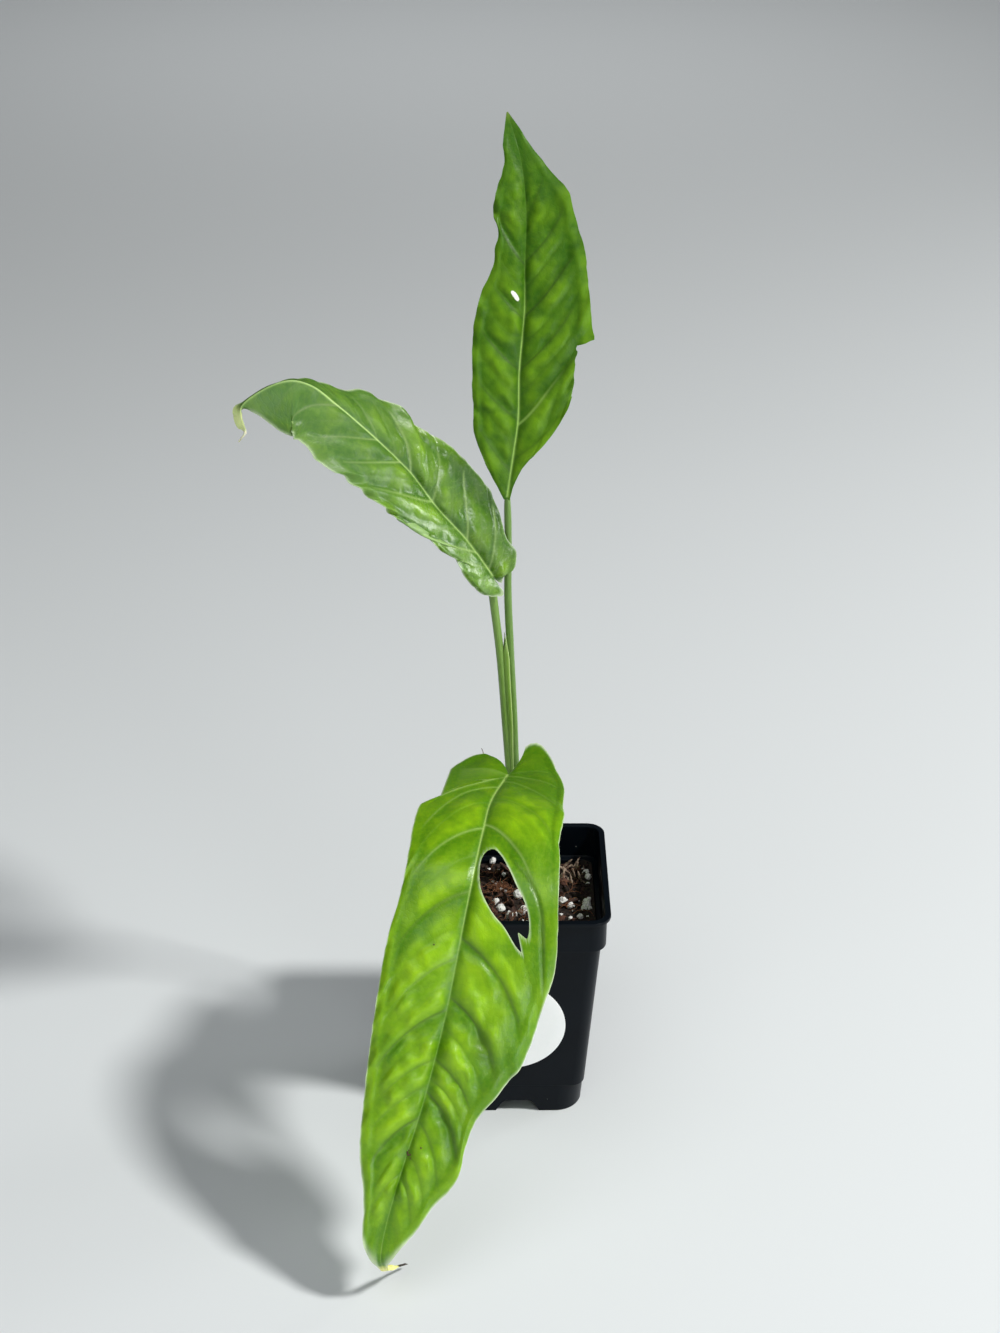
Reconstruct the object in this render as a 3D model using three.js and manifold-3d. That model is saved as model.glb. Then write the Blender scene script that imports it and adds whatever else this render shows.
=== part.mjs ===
// A young potted Monstera: three leaves on sheathed stalks, in a deep square nursery pot of potting mix.
// Millimetres, +Z up, front towards -Y. Everything is laid out about the middle of the pot's foot, and the
// finished group is then moved so that its origin is the middle of the whole plant's footprint.

import * as THREE from 'three';
import { mergeVertices } from 'three/addons/utils/BufferGeometryUtils.js';
import Module from 'manifold-3d';

const wasm = await Module();
wasm.setup();

// Clearance left between two pieces that touch
const GAP = 0.3;

// Pot: half widths across the flats, corner radii and heights
const POT_HEIGHT = 112;
const LIP_HALF = 40;
const LIP_CORNER = 8;
const LIP_THICKNESS = 1.8;
const BAND_HALF = 38.4;
const BAND_CORNER = 7;
const BAND_BOTTOM = 95.5;
const BAND_CHAMFER = 0.6;
const WALL_TOP_HALF = 36.2;
const WALL_FOOT_HALF = 29.3;
const WALL_CORNER = 6;
const WALL_THICKNESS = 1.4;
const FOOT_LEDGE_HEIGHT = 15.5;
const FOOT_CORNER = 12;
const ARCH_FOOT_HALF = 10;
const ARCH_CROWN_HALF = 6.5;
const ARCH_HEIGHT = 6.5;
const ARCH_CORNER = 2.5;
const DRAIN_RADIUS = 3;
const DRAIN_OFFSET = 17;
const CORNER_STEPS = 4;
// Height over which a step in the pot's wall is drawn
const STEP_RISE = 0.01;

// Round paper label on the front wall
const LABEL_RADIUS = 25.4;
const LABEL_THICKNESS = 0.3;
const LABEL_CENTRE_X = -4.3;
const LABEL_CENTRE_Z = 52;

// Potting mix
const SOIL_LEVEL = 92;
const SOIL_MOUND = 1.6;
const SOIL_ROUGHNESS = 0.9;
const SOIL_CELLS = 22;
const PERLITE_COUNT = 34;
const PERLITE_SMALLEST = 1.3;
const PERLITE_SPREAD = 1.9;
const BARK_COUNT = 16;
const BARK_SHORTEST = 5;
const BARK_SPREAD = 5;
const BARK_THICKNESS = 1.8;
const LUMP_REACH = 31;

// Stem and leaf stalks
const STEM_X = 3;
const STEM_Y = 18;
const STEM_RADIUS = 3.6;
const STEM_BOTTOM = 78;
const STEM_TOP = 102.3;
const STALK_BASE_RADIUS = 1.5;
const STALK_RADIUS = 1.4;
const STALK_SIDES = 10;

// Sheath of the middle leaf's stalk, which clasps the youngest stalk
const SHEATH_THICKNESS = 0.6;
const SHEATH_BOTTOM = 0.02;
const SHEATH_TOP = 0.62;

// Dried tip of an old scale leaf
const DRIED_RADIUS = 0.6;
const DRIED_TIP_RADIUS = 0.3;

// Leaf blades
const BLADE_THICKNESS = 0.7;
const MIDRIB_DEPTH = 0.9;
const VEIN_SWEEP = 0.36;
const LOBE_LIFT = 0.012;
const COLUMN_STEPS = [0, 0.08, 0.26, 0.45, 0.64, 0.82, 1];

// Small helpers on numbers

// A repeatable draw of numbers from 0 to 1
function seededDraw(seed) {
  let state = seed;
  return () => {
    state = (Math.imul(state, 1664525) + 1013904223) >>> 0;
    return state / 4294967296;
  };
}

// Value at x of a smooth curve through [x, value] pairs, level beyond both ends
function smoothThrough(pairs, x) {
  const last = pairs.length - 1;
  if (x <= pairs[0][0]) return pairs[0][1];
  if (x >= pairs[last][0]) return pairs[last][1];
  let k = 0;
  while (x > pairs[k + 1][0]) k += 1;
  const slope = (m) => {
    const before = pairs[Math.max(m - 1, 0)];
    const after = pairs[Math.min(m + 1, last)];
    return (after[1] - before[1]) / (after[0] - before[0]);
  };
  const span = pairs[k + 1][0] - pairs[k][0];
  const s = (x - pairs[k][0]) / span;
  return (2 * s ** 3 - 3 * s ** 2 + 1) * pairs[k][1] + (s ** 3 - 2 * s ** 2 + s) * span * slope(k)
    + (3 * s ** 2 - 2 * s ** 3) * pairs[k + 1][1] + (s ** 3 - s ** 2) * span * slope(k + 1);
}

// Closed solids and their booleans

function closedGeometry(points, faces) {
  const geometry = new THREE.BufferGeometry();
  geometry.setAttribute('position', new THREE.Float32BufferAttribute(points.flatMap((p) => p.toArray()), 3));
  geometry.setIndex(faces.flat());
  return geometry;
}

function toSolid(geometry) {
  const bare = geometry.clone();
  bare.deleteAttribute('normal');
  bare.deleteAttribute('uv');
  const merged = mergeVertices(bare, 1e-4);
  return new wasm.Manifold(new wasm.Mesh({
    numProp: 3,
    vertProperties: Float32Array.from(merged.attributes.position.array),
    triVerts: Uint32Array.from(merged.index.array),
  }));
}

function fromSolid(solid) {
  const mesh = solid.getMesh();
  const geometry = new THREE.BufferGeometry();
  geometry.setAttribute('position', new THREE.Float32BufferAttribute(Array.from(mesh.vertProperties), 3));
  geometry.setIndex(Array.from(mesh.triVerts));
  return geometry;
}

function placedGeometry(geometry, position, turn = [0, 0, 0], stretch = [1, 1, 1]) {
  const matrix = new THREE.Matrix4().compose(
    new THREE.Vector3(...position),
    new THREE.Quaternion().setFromEuler(new THREE.Euler(...turn)),
    new THREE.Vector3(...stretch),
  );
  return geometry.clone().applyMatrix4(matrix);
}

// Skin over rings of equally many points, listed bottom to top and anticlockwise from above, ends capped
function loft(rings) {
  const count = rings[0].length;
  const points = rings.flat();
  const faces = [];
  for (let r = 0; r < rings.length - 1; r += 1) {
    for (let k = 0; k < count; k += 1) {
      const a = r * count + k;
      const b = r * count + (k + 1) % count;
      faces.push([a, b, b + count], [a, b + count, a + count]);
    }
  }
  const top = (rings.length - 1) * count;
  for (let k = 1; k < count - 1; k += 1) {
    faces.push([0, k + 1, k], [top, top + k, top + k + 1]);
  }
  return closedGeometry(points, faces);
}

// Thin closed sheet about a grid of middle points: both faces are split into triangles alike
function sheet(middle, thickness, extraBelow = () => 0) {
  const rows = middle.length;
  const columns = middle[0].length;
  const { clamp } = THREE.MathUtils;
  const at = (i, j) => middle[clamp(i, 0, rows - 1)][clamp(j, 0, columns - 1)];
  const upper = [];
  const lower = [];
  for (let i = 0; i < rows; i += 1) {
    for (let j = 0; j < columns; j += 1) {
      const along = at(i + 1, j).clone().sub(at(i - 1, j));
      const across = at(i, j + 1).clone().sub(at(i, j - 1));
      const normal = across.cross(along).normalize().negate();
      upper.push(middle[i][j].clone().addScaledVector(normal, thickness / 2));
      lower.push(middle[i][j].clone().addScaledVector(normal, -thickness / 2 - extraBelow(i, j)));
    }
  }
  const faces = [];
  const under = rows * columns;
  for (let i = 0; i < rows - 1; i += 1) {
    for (let j = 0; j < columns - 1; j += 1) {
      const a = i * columns + j;
      const corners = [a, a + columns, a + columns + 1, a + 1];
      const first = 2 * j < columns - 1 ? 0 : 1;
      const [p, q, r, s] = [0, 1, 2, 3].map((k) => corners[(k + first) % 4]);
      for (const [x, y, z] of [[p, q, r], [p, r, s]]) {
        faces.push([x, y, z], [x + under, z + under, y + under]);
      }
    }
  }
  const rim = [];
  for (let i = 0; i < rows; i += 1) rim.push(i * columns);
  for (let j = 1; j < columns; j += 1) rim.push((rows - 1) * columns + j);
  for (let i = rows - 2; i >= 0; i -= 1) rim.push(i * columns + columns - 1);
  for (let j = columns - 2; j > 0; j -= 1) rim.push(j);
  rim.forEach((a, k) => {
    const b = rim[(k + 1) % rim.length];
    faces.push([a, a + under, b + under], [a, b + under, b]);
  });
  return closedGeometry([...upper, ...lower], faces);
}

// The plant group and its materials

const plant = new THREE.Group();

const potPlastic = new THREE.MeshStandardMaterial({ color: 0x1d2124, roughness: 0.42, metalness: 0 });
const labelPaper = new THREE.MeshStandardMaterial({ color: 0xf4f5f5, roughness: 0.5, metalness: 0 });
const mixMaterial = new THREE.MeshStandardMaterial({ color: 0x2b1d16, roughness: 0.95, metalness: 0 });
const stalkGreen = new THREE.MeshStandardMaterial({ color: 0x6f9a55, roughness: 0.45, metalness: 0 });
const driedBrown = new THREE.MeshStandardMaterial({ color: 0x4a3422, roughness: 0.8, metalness: 0 });
const frontGreen = new THREE.MeshStandardMaterial({ color: 0x6aa51c, roughness: 0.38, metalness: 0 });
const middleGreen = new THREE.MeshStandardMaterial({ color: 0x5c9440, roughness: 0.33, metalness: 0 });
const topGreen = new THREE.MeshStandardMaterial({ color: 0x4f9117, roughness: 0.4, metalness: 0 });

function addPiece(name, geometry, material) {
  const mesh = new THREE.Mesh(geometry, material);
  mesh.name = name;
  plant.add(mesh);
  return mesh;
}

// Pot: a tapered square cup with a banded rim and flat lip, standing on its four corners

const wallHalfAt = (z) => THREE.MathUtils.mapLinear(z, 0, BAND_BOTTOM, WALL_FOOT_HALF, WALL_TOP_HALF);

function squareRing(half, radius, z) {
  const ring = [];
  for (let corner = 0; corner < 4; corner += 1) {
    for (let k = 0; k <= CORNER_STEPS; k += 1) {
      const angle = (corner + k / CORNER_STEPS) * Math.PI / 2;
      const sx = [1, -1, -1, 1][corner];
      const sy = [1, 1, -1, -1][corner];
      const x = sx * (half - radius) + radius * Math.cos(angle);
      const y = sy * (half - radius) + radius * Math.sin(angle);
      ring.push(new THREE.Vector3(x, y, z));
    }
  }
  return ring;
}

function potOutside() {
  const lipUnderside = POT_HEIGHT - LIP_THICKNESS;
  return toSolid(loft([
    squareRing(WALL_FOOT_HALF, FOOT_CORNER, 0),
    squareRing(wallHalfAt(FOOT_LEDGE_HEIGHT), FOOT_CORNER, FOOT_LEDGE_HEIGHT),
    squareRing(wallHalfAt(FOOT_LEDGE_HEIGHT), WALL_CORNER, FOOT_LEDGE_HEIGHT + STEP_RISE),
    squareRing(WALL_TOP_HALF, WALL_CORNER, BAND_BOTTOM),
    squareRing(BAND_HALF, BAND_CORNER, BAND_BOTTOM + BAND_CHAMFER),
    squareRing(BAND_HALF, BAND_CORNER, lipUnderside),
    squareRing(LIP_HALF, LIP_CORNER, lipUnderside + STEP_RISE),
    squareRing(LIP_HALF, LIP_CORNER, POT_HEIGHT),
  ]));
}

// Two crossing tunnels under the floor leave the four corners as feet
function archTunnels(grow) {
  const height = ARCH_HEIGHT + grow;
  const halfAt = (z) => THREE.MathUtils.mapLinear(z, 0, ARCH_HEIGHT, ARCH_FOOT_HALF, ARCH_CROWN_HALF) + grow;
  const turnFrom = height - ARCH_CORNER;
  const outline = new THREE.Shape();
  outline.moveTo(-halfAt(-1), -1);
  outline.lineTo(halfAt(-1), -1);
  outline.lineTo(halfAt(turnFrom), turnFrom);
  outline.quadraticCurveTo(halfAt(height), height, halfAt(height) - ARCH_CORNER, height);
  outline.lineTo(-halfAt(height) + ARCH_CORNER, height);
  outline.quadraticCurveTo(-halfAt(height), height, -halfAt(turnFrom), turnFrom);
  const length = 2 * LIP_HALF;
  const tunnel = new THREE.ExtrudeGeometry(outline, {
    depth: length,
    bevelEnabled: false,
    curveSegments: 4,
  });
  tunnel.translate(0, 0, -length / 2);
  const alongY = toSolid(placedGeometry(tunnel, [0, 0, 0], [Math.PI / 2, 0, 0]));
  return alongY.add(alongY.rotate([0, 0, 90]));
}

// The room inside the pot, its walls drawn in by inset
function potInside(inset) {
  const drawnIn = WALL_THICKNESS + inset;
  const shoulder = BAND_BOTTOM - BAND_CHAMFER;
  const ledgeTop = FOOT_LEDGE_HEIGHT + FOOT_CORNER - WALL_CORNER;
  const room = toSolid(loft([
    squareRing(wallHalfAt(0) - drawnIn, FOOT_CORNER - drawnIn, drawnIn),
    squareRing(wallHalfAt(FOOT_LEDGE_HEIGHT) - drawnIn, FOOT_CORNER - drawnIn, FOOT_LEDGE_HEIGHT),
    squareRing(wallHalfAt(ledgeTop) - drawnIn, WALL_CORNER - drawnIn, ledgeTop),
    squareRing(WALL_TOP_HALF - drawnIn, WALL_CORNER - drawnIn, shoulder),
    squareRing(BAND_HALF - drawnIn, BAND_CORNER - drawnIn, shoulder + WALL_THICKNESS),
    squareRing(BAND_HALF - drawnIn, BAND_CORNER - drawnIn, POT_HEIGHT + 1),
  ]));
  return room.subtract(archTunnels(drawnIn));
}

function drainHoles() {
  const drill = new THREE.CylinderGeometry(DRAIN_RADIUS, DRAIN_RADIUS, 4 * WALL_THICKNESS, 12);
  const spots = [[0, 0], [DRAIN_OFFSET, 0], [-DRAIN_OFFSET, 0], [0, DRAIN_OFFSET], [0, -DRAIN_OFFSET]];
  const holes = spots.map(([x, y]) => (
    toSolid(placedGeometry(drill, [x, y, ARCH_HEIGHT], [Math.PI / 2, 0, 0]))
  ));
  return holes.reduce((all, hole) => all.add(hole));
}

const potSolid = potOutside().subtract(potInside(0)).subtract(archTunnels(0)).subtract(drainHoles());
addPiece('pot', fromSolid(potSolid), potPlastic);

// Label: a round paper disc on the sloping front wall

const wallSlope = Math.atan((WALL_TOP_HALF - WALL_FOOT_HALF) / BAND_BOTTOM);
const labelStandOff = GAP + LABEL_THICKNESS / 2;
addPiece('label', placedGeometry(
  new THREE.CylinderGeometry(LABEL_RADIUS, LABEL_RADIUS, LABEL_THICKNESS, 40),
  [LABEL_CENTRE_X, -wallHalfAt(LABEL_CENTRE_Z) - labelStandOff, LABEL_CENTRE_Z],
  [wallSlope, 0, 0],
), labelPaper);

// Potting mix: a rough-topped fill with perlite and bark fused in, and a plain hole for the stem

const mixDraw = seededDraw(7);

function mixSurface() {
  const heights = [];
  for (let k = 0; k < (SOIL_CELLS + 1) ** 2; k += 1) {
    const x = (k % (SOIL_CELLS + 1)) / SOIL_CELLS * 2 - 1;
    const y = Math.floor(k / (SOIL_CELLS + 1)) / SOIL_CELLS * 2 - 1;
    const mound = SOIL_MOUND * (1 - x * x - y * y);
    heights.push(SOIL_LEVEL + mound + SOIL_ROUGHNESS * (2 * mixDraw() - 1));
  }
  return heights;
}

const mixHeights = mixSurface();

function mixHeightAt(x, y) {
  const cell = (v) => THREE.MathUtils.clamp(Math.round((v / LIP_HALF + 1) / 2 * SOIL_CELLS), 0, SOIL_CELLS);
  return mixHeights[cell(y) * (SOIL_CELLS + 1) + cell(x)];
}

function mixBlock() {
  const block = new THREE.BoxGeometry(2 * LIP_HALF, 2 * LIP_HALF, SOIL_LEVEL, SOIL_CELLS, SOIL_CELLS, 1);
  block.translate(0, 0, SOIL_LEVEL / 2);
  const position = block.attributes.position;
  for (let k = 0; k < position.count; k += 1) {
    if (position.getZ(k) > SOIL_LEVEL - 1) {
      position.setZ(k, mixHeightAt(position.getX(k), position.getY(k)));
    }
  }
  return toSolid(block);
}

function mixLump(shape, size) {
  const x = LUMP_REACH * (2 * mixDraw() - 1);
  const y = LUMP_REACH * (2 * mixDraw() - 1);
  const turn = [mixDraw() * Math.PI, mixDraw() * Math.PI, mixDraw() * Math.PI];
  const seat = mixHeightAt(x, y) + 0.2 * Math.min(...size);
  return toSolid(placedGeometry(shape, [x, y, seat], turn, size));
}

function pottingMix() {
  let mix = mixBlock();
  for (let k = 0; k < PERLITE_COUNT; k += 1) {
    const size = PERLITE_SMALLEST + PERLITE_SPREAD * mixDraw() ** 2;
    mix = mix.add(mixLump(new THREE.IcosahedronGeometry(1, 0), [size, size * 0.8, size * 0.9]));
  }
  for (let k = 0; k < BARK_COUNT; k += 1) {
    const length = BARK_SHORTEST + BARK_SPREAD * mixDraw();
    mix = mix.add(mixLump(new THREE.BoxGeometry(1, 1, 1), [length, length / 2, BARK_THICKNESS]));
  }
  const stemHole = new THREE.CylinderGeometry(STEM_RADIUS + GAP, STEM_RADIUS + GAP, POT_HEIGHT, 16);
  const holeMiddle = STEM_BOTTOM - GAP + POT_HEIGHT / 2;
  const hole = toSolid(placedGeometry(stemHole, [STEM_X, STEM_Y, holeMiddle], [Math.PI / 2, 0, 0]));
  const filled = mix.intersect(potInside(GAP)).subtract(hole);
  return filled.decompose().sort((a, b) => b.volume() - a.volume())[0];
}

addPiece('potting_mix', fromSolid(pottingMix()), mixMaterial);

// Stem: the short crown that the three stalks rise from

const stemShape = new THREE.CylinderGeometry(STEM_RADIUS, STEM_RADIUS, STEM_TOP - STEM_BOTTOM, 16, 1);
const stemMiddle = (STEM_TOP + STEM_BOTTOM) / 2;
addPiece('stem', placedGeometry(stemShape, [STEM_X, STEM_Y, stemMiddle], [Math.PI / 2, 0, 0]), stalkGreen);

// Leaf stalks

const toCurve = (points) => new THREE.CatmullRomCurve3(points.map((p) => new THREE.Vector3(...p)));

// Round section square to a curve, anticlockwise seen from the curve's far end
function roundRing(curve, u, radius) {
  const centre = curve.getPointAt(u);
  const along = curve.getTangentAt(u);
  const side = new THREE.Vector3(0, 1, 0).cross(along).normalize();
  const other = along.clone().cross(side);
  return Array.from({ length: STALK_SIDES }, (_, k) => {
    const angle = k / STALK_SIDES * 2 * Math.PI;
    const offset = side.clone().multiplyScalar(Math.cos(angle)).addScaledVector(other, Math.sin(angle));
    return centre.clone().addScaledVector(offset, radius);
  });
}

function stalk(curve, steps, tipRadius) {
  const radii = [[0, STALK_BASE_RADIUS], [0.3, STALK_RADIUS], [0.85, STALK_RADIUS], [1, tipRadius]];
  const rings = Array.from({ length: steps + 1 }, (_, k) => {
    const u = k / steps;
    return roundRing(curve, u, smoothThrough(radii, u));
  });
  return loft(rings);
}

const frontStalkCurve = toCurve([
  [2.6, 15.2, STEM_TOP + GAP], [0.8, 10.5, 125], [-1.4, 4, 145], [-3.4, -5, 159.5], [-4.8, -13, 167.3],
]);
const middleStalkCurve = toCurve([
  [1.2, 18.9, STEM_TOP + GAP], [-1.4, 16.9, 128], [-4, 14.2, 156], [-5.4, 12.5, 177.5], [-7.6, 9.2, 216],
  [-10.4, 5.6, 246], [-11.9, 4.2, 258],
]);
const topStalkCurve = toCurve([
  [4.6, 18.7, STEM_TOP + GAP], [2.1, 16.5, 128], [-0.7, 13.5, 156], [-1.6, 12, 185], [-3.3, 9.5, 221],
  [-4.5, 8, 246], [-4.6, 7, 270], [-5, 6.6, 292],
]);

addPiece('stalk_front', stalk(frontStalkCurve, 16, 1.1), stalkGreen);
addPiece('stalk_top', stalk(topStalkCurve, 22, 1.1), stalkGreen);

// The middle stalk carries a sheath: a thin wing that wraps round the youngest stalk and narrows to its tip
function sheathWing() {
  const rows = 16;
  const columns = 10;
  const clasp = STALK_BASE_RADIUS + GAP + SHEATH_THICKNESS / 2;
  return sheet(Array.from({ length: rows + 1 }, (_, i) => {
    const u = THREE.MathUtils.lerp(SHEATH_BOTTOM, SHEATH_TOP, i / rows);
    const held = topStalkCurve.getPointAt(u);
    const along = topStalkCurve.getTangentAt(u);
    const carried = u * topStalkCurve.getLength() / middleStalkCurve.getLength();
    const inward = middleStalkCurve.getPointAt(carried).sub(held);
    inward.addScaledVector(along, -inward.dot(along)).normalize();
    const round = along.clone().cross(inward);
    const reach = smoothThrough([[0, 2.0], [0.7, 1.7], [1, 0.5]], i / rows);
    return Array.from({ length: columns + 1 }, (__, j) => {
      const angle = reach * (1 - 2 * j / columns);
      const offset = inward.clone().multiplyScalar(Math.cos(angle)).addScaledVector(round, Math.sin(angle));
      return held.clone().addScaledVector(offset, clasp);
    });
  }), SHEATH_THICKNESS);
}

const middleStalk = toSolid(stalk(middleStalkCurve, 20, 1.1)).add(toSolid(sheathWing()));
addPiece('stalk_middle', fromSolid(middleStalk), stalkGreen);

// Dried tip of an old scale leaf, behind the front leaf's left lobe
const driedCurve = toCurve([
  [-1.2, 16.3, 96], [-2.8, 15.8, 108], [-6, 15, 128], [-11, 13.5, 150], [-16, 12, 168.5],
]);
const driedRings = Array.from({ length: 13 }, (_, k) => (
  roundRing(driedCurve, k / 12, THREE.MathUtils.lerp(DRIED_RADIUS, DRIED_TIP_RADIUS, k / 12))
));
addPiece('dried_scale', loft(driedRings), driedBrown);

// Leaf blades. A blade is described flat, by distance t along its midrib and w across it, and then bent: the
// midrib follows a curve in space, facing turns the blade about it, and folds raise or drop its two halves.

class LeafBlade {
  constructor(leaf) {
    Object.assign(this, leaf);
    this.curve = toCurve(leaf.midrib);
    this.curve.arcLengthDivisions = 600;
    this.length = this.curve.getLength();
  }

  frameAt(t) {
    const u = THREE.MathUtils.clamp(t / this.length, 0, 1);
    const along = this.curve.getTangentAt(u);
    const centre = this.curve.getPointAt(u).addScaledVector(along, t - u * this.length);
    const facingOn = (k) => smoothThrough(this.facing.map((f) => [f[0], f[k]]), u);
    const face = new THREE.Vector3(facingOn(1), facingOn(2), facingOn(3));
    const normal = face.addScaledVector(along, -face.dot(along)).normalize();
    const side = normal.clone().cross(along);
    return { centre, side, normal };
  }

  // Point at (t, w), raised from the bent blade by relief
  pointAt(t, w, relief = 0) {
    const { centre, side, normal } = this.frameAt(t);
    const u = THREE.MathUtils.clamp(t / this.length, 0, 1);
    const fold = smoothThrough(w > 0 ? this.foldRight : this.foldLeft, u);
    const lift = fold * Math.abs(w) - this.droop * w * w + LOBE_LIFT * Math.min(t, 0) ** 2;
    return centre.addScaledVector(side, w).addScaledVector(normal, lift + relief);
  }

  // Flat place of the grid point a along the leaf and b out from the midrib, on a line that sweeps forward
  flatAt(a, b, edge) {
    const back = edge.outline[0][0];
    const midrib = new THREE.Vector2(a * this.length, 0);
    const edgeT = back + (this.length - back) * (a + VEIN_SWEEP * a * (1 - a));
    const margin = new THREE.Vector2(edgeT, smoothThrough(edge.outline, edgeT));
    const lobe = THREE.MathUtils.clamp(1 - a / 0.12, 0, 1) ** 2;
    const bend = new THREE.Vector2(midrib.x + 0.3 * (margin.x - midrib.x), margin.y / 2);
    bend.lerp(new THREE.Vector2(...edge.lobeBend), lobe);
    return new THREE.QuadraticBezierCurve(midrib, bend, margin).getPoint(b);
  }

  // Bulges between the side veins, and the margin's gentle waves
  reliefAt(a, b, halfWidth, sign) {
    const body = Math.min(1, halfWidth / 14);
    const bulge = this.bulge * Math.sin(Math.PI * this.veins * a) ** 2 * Math.sin(Math.PI * b) ** 0.7;
    const wave = this.wave * b * b * Math.sin(2 * Math.PI * this.waves * a + sign);
    return body * (bulge + wave);
  }

  geometry() {
    const spread = [...COLUMN_STEPS.slice(1).reverse().map((b) => -b), ...COLUMN_STEPS];
    const middle = Array.from({ length: this.rows + 1 }, (_, i) => spread.map((column) => {
      const a = i / this.rows;
      const sign = column < 0 ? -1 : 1;
      const edge = column < 0 ? this.left : this.right;
      const flat = this.flatAt(a, Math.abs(column), edge);
      const relief = this.reliefAt(a, Math.abs(column), this.flatAt(a, 1, edge).y, sign);
      return this.pointAt(flat.x, sign * flat.y, relief);
    }));
    const rib = COLUMN_STEPS.length - 1;
    const ribDepth = (i, j) => (j === rib ? MIDRIB_DEPTH * (1 - 0.9 * i / this.rows) : 0);
    return sheet(middle, BLADE_THICKNESS, ribDepth);
  }

  // Closed plug that fills a window in the blade, drawn as a flat outline of [t, w] points
  windowPlug(outline, reach = 5) {
    const corners = outline.map(([t, w]) => new THREE.Vector2(t, w));
    if (THREE.ShapeUtils.area(corners) < 0) corners.reverse();
    const raised = (height) => corners.map((c) => this.pointAt(c.x, c.y, height));
    const count = corners.length;
    const faces = THREE.ShapeUtils.triangulateShape(corners, []).flatMap(([p, q, r]) => [
      [p, r, q],
      [p + count, q + count, r + count],
    ]);
    corners.forEach((_, k) => {
      const next = (k + 1) % count;
      faces.push([k, next, next + count], [k, next + count, k + count]);
    });
    return closedGeometry([...raised(-reach), ...raised(reach)], faces);
  }
}

// Front leaf: the oldest and largest, arching forward over the lip and down to the ground, with one window

const frontLeaf = new LeafBlade({
  rows: 44,
  veins: 11,
  bulge: 1.1,
  waves: 9,
  wave: 0.7,
  droop: 0.004,
  midrib: [
    [-4.6, -12, 169.6], [-11.7, -40, 173.5], [-14.7, -62, 174], [-18.3, -83, 167.3], [-22.8, -97, 149.6],
    [-27.4, -109, 128.7], [-32.1, -118, 109.6], [-40.1, -129, 82], [-47.3, -138, 61.2], [-54.1, -146, 37.5],
    [-55.7, -149, 26.5], [-55, -146, 19], [-53, -140, 12.5], [-50, -133, 6.5], [-45.5, -127, 2.5],
  ],
  facing: [[0, 0, 0, 1], [0.3, 0, -0.35, 1], [0.5, 0, -1, 0.6], [0.85, 0, -1, 0.3], [1, 0, -0.6, -0.8]],
  foldLeft: [[0, 0.12], [1, 0.12]],
  foldRight: [[0, 0.12], [1, 0.12]],
  left: {
    lobeBend: [-9, 3],
    outline: [
      [-13, 15], [-8, 20.5], [0, 23.8], [10, 24], [22, 21.7], [30, 21], [34, 23.5], [38, 28.2], [52, 28.5],
      [75, 27.3], [90, 27.3], [106, 28.6], [125, 28.3], [150, 26.4], [180, 21.8], [195, 18], [207, 13],
      [218, 9.6], [228, 7.6], [234, 3.6], [239, 1.5], [250, 1], [274, 0.8],
    ],
  },
  right: {
    lobeBend: [-12, 3],
    outline: [
      [-19, 4.5], [-17.5, 8], [-13, 13.5], [-6.5, 19], [3, 25], [12, 27.5], [24, 29.4], [36, 31.4],
      [54, 31.2], [62, 32.5], [76, 34.4], [90, 37], [107, 38.7], [121, 36.7], [143, 34], [151, 30.2],
      [160, 26], [168, 22.3], [180, 21], [190, 22], [197, 21], [210, 15.2], [222, 11.4], [229, 7.6],
      [236, 3.4], [241, 1.4], [250, 1], [274, 0.8],
    ],
  },
});

const frontWindow = [
  [63, 6], [64.5, 3.2], [68, 1.8], [74, 2.2], [80.5, 4.5], [88, 10.7], [92.3, 16], [98.8, 21.6],
  [101.5, 24.8], [98, 23.4], [93.2, 21.6], [95.6, 25.8], [91.8, 26], [86, 24.5], [80.9, 21.6], [76, 17.4],
  [70.6, 13.3], [65.1, 9],
];

const frontBlade = toSolid(frontLeaf.geometry()).subtract(toSolid(frontLeaf.windowPlug(frontWindow)));
addPiece('blade_front', fromSolid(frontBlade), frontGreen);

// Middle leaf: held out to the left, its far end turned over like a roof, with a hanging drip tip

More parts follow.
